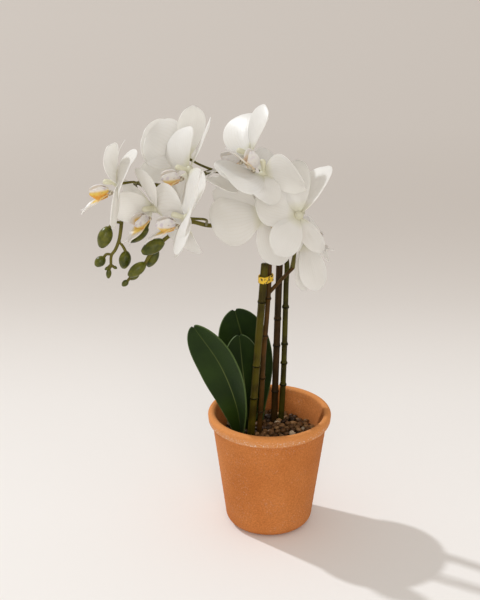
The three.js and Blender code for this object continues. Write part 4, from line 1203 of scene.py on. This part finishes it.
# How far yellow climbs the outside of a bloom's lip, and the strength of its colours, by bloom and for the
# rest.
LIP_LOOKS = {"far_left": (4.5, 1), "middle": (1.5, 0.85), "crown": (-2.5, 0.45), "inner": (-2.5, 0.45),
             "rest": (0.5, 0.95)}
lip_meshes = {}
for name, look in LIP_LOOKS.items():
    lip_shape = joined(lip_pieces(*look), "lip_shape")
    lip_shape.data.transform(Matrix.Scale(LIP_SCALE, 4) @ Matrix.Translation(point(LIP_SHIFT)))
    lip_meshes[name] = lip_shape.data.copy()
    bpy.data.objects.remove(lip_shape)

for name, bloom in BLOOMS.items():
    place = bloom_place(bloom["at"], bloom["faces"])
    tepals = []
    for i, (part, shape) in enumerate(TEPALS.items()):
        tepals.append(tepal({**shape, **bloom["bends"][part]}, i + len(name)))
    petals = joined(tepals + hub_and_column(), name + "_petals")
    petals.data.transform(place)
    dress(petals, name + "_petals", petal_finish, 60)
    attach(petals, "root")
    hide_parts("petals_" + name)

    lip = place_in_scene(name + "_lip", lip_meshes.get(name, lip_meshes["rest"]).copy())
    lip.data.transform(place)
    dress(lip, name + "_lip", lip_finish, 50)
    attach(lip, "root")
    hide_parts("lip_" + name)

    stem, share = bloom["from"]
    if "approach" in bloom:
        away, hub_share = Vector(bloom["approach"]).normalized(), STALK_ENDS["side"]
    else:
        away, hub_share = (place.to_3x3() @ Vector((0, 0, -1))).normalized(), STALK_ENDS["back"]
    reach = (HUB_RADIUS * hub_share + STALK_GAP) * MM
    hub_at = point(bloom["at"])
    path = [along(stem_lines[stem], share), hub_at + away * (reach + STALK_RUN_IN), hub_at + away * reach]
    line = curve_through([knot / MM for knot in path])
    rod = grow(line, lambda share: STALK_RADIUS - 0.3 * math.sin(math.pi * share))
    stalk = joined([rod], name + "_stalk")
    dress(stalk, name + "_stalk", arch_finish, 60)
    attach(stalk, "root")
    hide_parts("stem_low" if stem == "low" else "stem_left")


# ---- Floor and light ----
# A pale paper sweep that runs back from the plant and curves up, painted greyer and warmer towards the back
# as painted shade where the light falls off behind. A small lamp at the left, high and a little behind,
# throws the shadow. A soft box in front and the warm room fill the rest.

SWEEP_START = 0.60
SWEEP_RADIUS = 1.6
SWEEP_HALF_WIDTH = 3.5
SWEEP_FRONT = -2.2
# How far behind the plant, and how bright the paper is painted there: painted shade where the light falls
# off.
PAINTED_PAPER_SHADE = ((0, 1), (0.28, 0.94), (0.45, 0.86), (0.61, 0.75), (0.80, 0.665), (0.95, 0.635), (1.15, 0.67),
                (1.7, 0.75))
PAPER = (0.865, 0.838, 0.81)
# Painted shade: the paper's painted shade also turns warmer towards its dark end.
PAINTED_SHADE_WARMTH = 0.32  # how much the dark end of the paper turns from blue
LAMP_WAY = Vector((-0.613, 0.398, 0.682))  # from the pot towards the lamp
LAMP_DISTANCE = 8.0
LAMP_SIZE = 0.26
LAMP_POWER = 340
SOFT_BOX_SIZE = 1.8
SOFT_BOX_POWER = 28
SOFT_BOX_PLACE = Vector((0.2, -2.9, 1.4))
SOFT_BOX_AIM = Vector((0, 0, 0.25))

profile = [(SWEEP_FRONT, 0), (0, 0), (SWEEP_START, 0)]
profile += [(SWEEP_START + y, z) for y, z in arc((0, SWEEP_RADIUS), SWEEP_RADIUS, -90, -28, 24)][1:]
sweep_mesh = bpy.data.meshes.new("sweep")
corners = [(x, y, z) for y, z in profile for x in (-SWEEP_HALF_WIDTH, SWEEP_HALF_WIDTH)]
strips = [(2 * i, 2 * i + 1, 2 * i + 3, 2 * i + 2) for i in range(len(profile) - 1)]
sweep_mesh.from_pydata(corners, [], strips)
floor = place_in_scene("sweep", sweep_mesh)
paper, paper_shader = new_finish("paper", 0.95, 0.15)
paper_end = PAINTED_PAPER_SHADE[-1][0]
run_back = stretch(coordinate(object_place(paper), "Y"), 0, paper_end)
paper_painted_shade_stops = []
# Painted shade: the paper's colour darkens and warms towards the back, where the light falls off.
for behind, shade in PAINTED_PAPER_SHADE:
    warmth = 1 - PAINTED_SHADE_WARMTH * (1 - shade)
    red, green, blue = (part * shade for part in PAPER)
    paper_painted_shade_stops.append((behind / paper_end, red, green * math.sqrt(warmth), blue * warmth))
feed(paper_shader, "Base Color", colour_ramp(run_back, paper_painted_shade_stops, "B_SPLINE"))
dress(floor, "sweep", paper, 60)

room = bpy.data.worlds.new("room")
bpy.context.scene.world = room
room.use_nodes = True
room_light = room.node_tree.nodes["Background"]
room_light.inputs["Color"].default_value = (1.0, 0.955, 0.905, 1)
room_light.inputs["Strength"].default_value = 0.60
bpy.ops.object.light_add(type="AREA", location=LAMP_WAY * LAMP_DISTANCE)
lamp = bpy.context.object
lamp.data.size = LAMP_SIZE
lamp.data.energy = LAMP_POWER
lamp.data.color = (0.96, 1.0, 1.05)
lamp.rotation_euler = LAMP_WAY.to_track_quat("Z", "Y").to_euler()
bpy.ops.object.light_add(type="AREA", location=SOFT_BOX_PLACE)
soft_box = bpy.context.object
soft_box.data.size = SOFT_BOX_SIZE
soft_box.data.energy = SOFT_BOX_POWER
soft_box.data.color = (1.0, 0.97, 0.93)
soft_box.rotation_euler = (SOFT_BOX_PLACE - SOFT_BOX_AIM).to_track_quat("Z", "Y").to_euler()
bpy.context.scene.view_settings.view_transform = "Standard"
